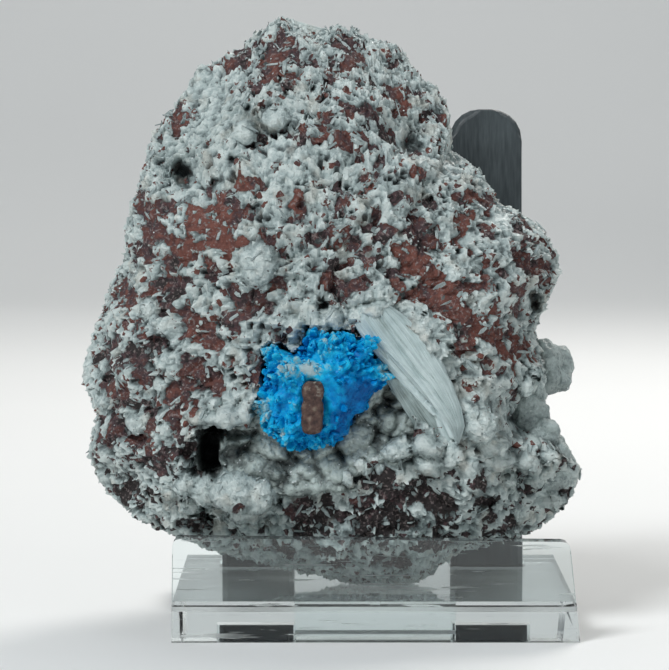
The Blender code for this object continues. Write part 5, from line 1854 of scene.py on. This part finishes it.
@dataclass
class Scatter:
    """Small white shards and glittering grains on the stone."""

    shards: int = 1300
    grains: int = 1300

    def shards_on(self, skins: list[Skin]) -> Skin:
        """Stand shards along the edges of the basalt.

        Args:
            skins: The stone's front and back.

        Returns:
            The shards.
        """
        draw = np.random.default_rng(41)
        made = []
        for skin, count in zip(skins, (self.shards, self.shards // 3)):
            normals = point_normals(skin)
            brown = skin.values["brown"]
            weight = (0.15 + np.exp(-(((brown - 0.5) / 0.3) ** 2))) * (skin.values["painted_shade"] < 0.2)
            weight *= skin.points[:, 2] > 7.0
            chosen = draw.choice(len(brown), count, replace=False, p=weight / weight.sum())
            spot = skin.points[chosen]
            normal = normals[chosen]
            flat = np.cross(normal, draw.normal(size=normal.shape))
            way = unit(flat + normal * draw.uniform(-0.05, 0.22, (count, 1)))
            length = 0.6 + 1.8 * draw.random((count, 1)) ** 2
            root = spot - way * length * 0.5 + normal * 0.04
            made.append(crystals(
                root, root + way * length, draw.uniform(0.22, 0.55, count), 0.4,
                normal + 0.5 * draw.normal(size=normal.shape), Habit.SHARD,
            ))
        skin = join(made)
        skin.values["painted_shade"] = np.zeros(len(skin.points))
        return skin

    def grains_on(self, skins: list[Skin]) -> Skin:
        """Set small bright grains into surfaces.

        Args:
            skins: The stone's front and back, the druse and the knobs, in this order.

        Returns:
            The grains, without values.
        """
        draw = np.random.default_rng(43)
        made = []
        for skin, share in zip(skins, (0.5, 0.1, 0.35, 0.05)):
            count = int(self.grains * share)
            normals = point_normals(skin)
            chosen = draw.choice(len(skin.points), count, replace=False)
            spot = skin.points[chosen]
            way = unit(normals[chosen] + 0.6 * draw.normal(size=spot.shape))
            size = draw.uniform(0.10, 0.24, count)
            made.append(crystals(
                spot - way * size[:, None] * 0.4, spot + way * size[:, None], size, 0.8,
                draw.normal(size=spot.shape), Habit.GRAIN,
            ))
        skin = join(made)
        skin.values = {}
        return skin


@dataclass
class Studio:
    """Pale floor and backdrop, soft lights and the camera."""

    floor: float = -0.03
    bend_start: float = 700.0
    bend: float = 400.0
    top: float = 1800.0

    def sweep(self) -> bpy.types.Object:
        """Build the floor and backdrop: one line in y and z, bent up at the back, carried along x."""
        turn = np.linspace(0.0, math.pi / 2, 24)[1:]
        away = self.bend_start + self.bend * np.sin(turn)
        up = self.bend + self.floor - self.bend * np.cos(turn)
        line = [
            (-1500.0, self.floor), (self.bend_start, self.floor), *zip(away, up),
            (self.bend_start + self.bend, self.top),
        ]
        across = np.array([-2000.0, 2000.0])
        points = np.array([[[x, y, z] for y, z in line] for x in across])
        index = np.arange(2 * len(line)).reshape(2, -1)
        quads = np.stack([index[0, :-1], index[1, :-1], index[1, 1:], index[0, 1:]], axis=-1)
        s = Shader("pale backdrop", 0.75)
        s.feed(Base_Color=s.mix(s.noise(160.0), (0.84, 0.84, 0.83), (0.88, 0.88, 0.87)))
        return add_piece("studio_sweep", Skin(points.reshape(-1, 3), quads), s.material)

    def light(
        self, name: str, place: tuple[float, float, float], size: float, power: float,
        tint: tuple[float, float, float], target: tuple[float, float, float] = VIEW.aim,
    ) -> None:
        """Add a soft square light that faces a target.

        Args:
            name: The light's name.
            place: Where it stands.
            size: Width of the square.
            power: Its power in watts.
            tint: Its colour.
            target: Where it looks.
        """
        data = bpy.data.lights.new(name, "AREA")
        data.energy = power
        data.size = size * MM
        data.color = tint
        lamp = bpy.data.objects.new(name, data)
        lamp.location = Vector(place) * MM
        lamp.rotation_euler = (Vector(target) * MM - lamp.location).to_track_quat("-Z", "Y").to_euler()
        bpy.context.scene.collection.objects.link(lamp)

    def camera(self) -> None:
        """Add the camera at the view's place."""
        data = bpy.data.cameras.new("camera")
        data.sensor_width = VIEW.sensor
        data.lens = VIEW.distance * VIEW.sensor / VIEW.width
        data.clip_start = 0.01
        camera = bpy.data.objects.new("camera", data)
        aim = Vector(VIEW.aim) * MM
        outward = Vector(tuple(VIEW.outward))
        camera.location = aim + outward * VIEW.distance * MM
        camera.rotation_euler = (-outward).to_track_quat("-Z", "Y").to_euler()
        bpy.context.scene.collection.objects.link(camera)
        bpy.context.scene.camera = camera

    def build(self) -> None:
        """Set up everything that isn't the specimen."""
        self.sweep()
        self.light("key", (-330.0, -430.0, 560.0), 260.0, 3.9, (0.95, 0.98, 1.0))
        self.light("fill", (480.0, -420.0, 240.0), 420.0, 0.45, (0.92, 0.97, 1.0))
        self.light("rim", (200.0, 380.0, 420.0), 260.0, 1.5, (1.0, 0.97, 0.93))
        self.light("backdrop", (0.0, 380.0, 900.0), 500.0, 2.6, (1.0, 1.0, 1.0), (0.0, 1100.0, 250.0))
        world = bpy.data.worlds.new("soft daylight")
        world.use_nodes = True
        background = world.node_tree.nodes["Background"]
        background.inputs["Color"].default_value = (0.80, 0.88, 0.92, 1.0)
        background.inputs["Strength"].default_value = 0.20
        bpy.context.scene.world = world
        bpy.context.scene.view_settings.view_transform = "Standard"
        self.camera()


def take(
    name: str, skin: Skin, material: bpy.types.Material, node: str, smooth: bool = True,
    crease: float = 180.0,
) -> None:
    """Add a piece that stands for a CAD node.

    Args:
        name: The piece's name.
        skin: Its points, faces and values.
        material: The finish.
        node: The CAD node.
        smooth: Whether the faces are shaded smooth.
        crease: Angle in degrees above which an edge between smooth faces stays sharp.
    """
    stand_for(add_piece(name, skin, material, smooth, crease), node)
    log.info("%s: %d triangles", name, 2 * len(skin.quads) + len(skin.triangles))


def main() -> None:
    """Build the specimen, its stand and the studio round them."""
    logging.basicConfig(level=logging.INFO, format="%(message)s")
    Studio().build()
    breccia = BrecciaFinish().make()
    zeolite = CrustFinish("white zeolite", (0.30, 0.36, 0.36), (0.58, 0.65, 0.63)).make()
    lumpy = CrustFinish("zeolite lumps", (0.17, 0.21, 0.21), (0.50, 0.58, 0.565), 0.30, 0.14, 0.24).make()
    grey = CrustFinish("grey druse", (0.11, 0.135, 0.130), (0.44, 0.51, 0.485), 0.34, 0.12, 0.22).make()
    blue = CavansiteFinish().make()
    skins = Breccia().build()
    take("breccia_front", skins[0], breccia, "breccia_matrix", crease=30.0)
    take("breccia_back", skins[1], breccia, "breccia_matrix", crease=30.0)
    druse = Druse().build()
    take("druse_lining", druse, grey, "druse_crust")
    knobs = Knobs().build()
    take("zeolite_knobs", knobs, lumpy, "breccia_matrix")
    scatter = Scatter()
    take("zeolite_shards", scatter.shards_on(skins), zeolite, "breccia_matrix", False)
    grains = scatter.grains_on([*skins, druse, knobs])
    take("clear_grains", grains, GrainFinish().make(), "druse_crust", False)
    mass, grown = Rosette().build()
    take("cavansite_mass", mass, blue, "cavansite_rosette")
    take("cavansite_crystals", grown, blue, "cavansite_rosette", False)
    take("basalt_block", Chip().build(), BasaltFinish().make(), "basalt_chip")
    take("stilbite_blades", Stilbite().build(), StilbiteFinish().make(), "stilbite_sheaf")
    posts = PostFinish().make()
    sharp_copy("stand_base", "clear_stand", AcrylicFinish().make(), 0.28)
    sharp_copy("stand_post_left", "left_post", posts, 0.3)
    sharp_copy("stand_post_right", "right_post", posts, 0.3)


if __name__ == "__main__":
    main()
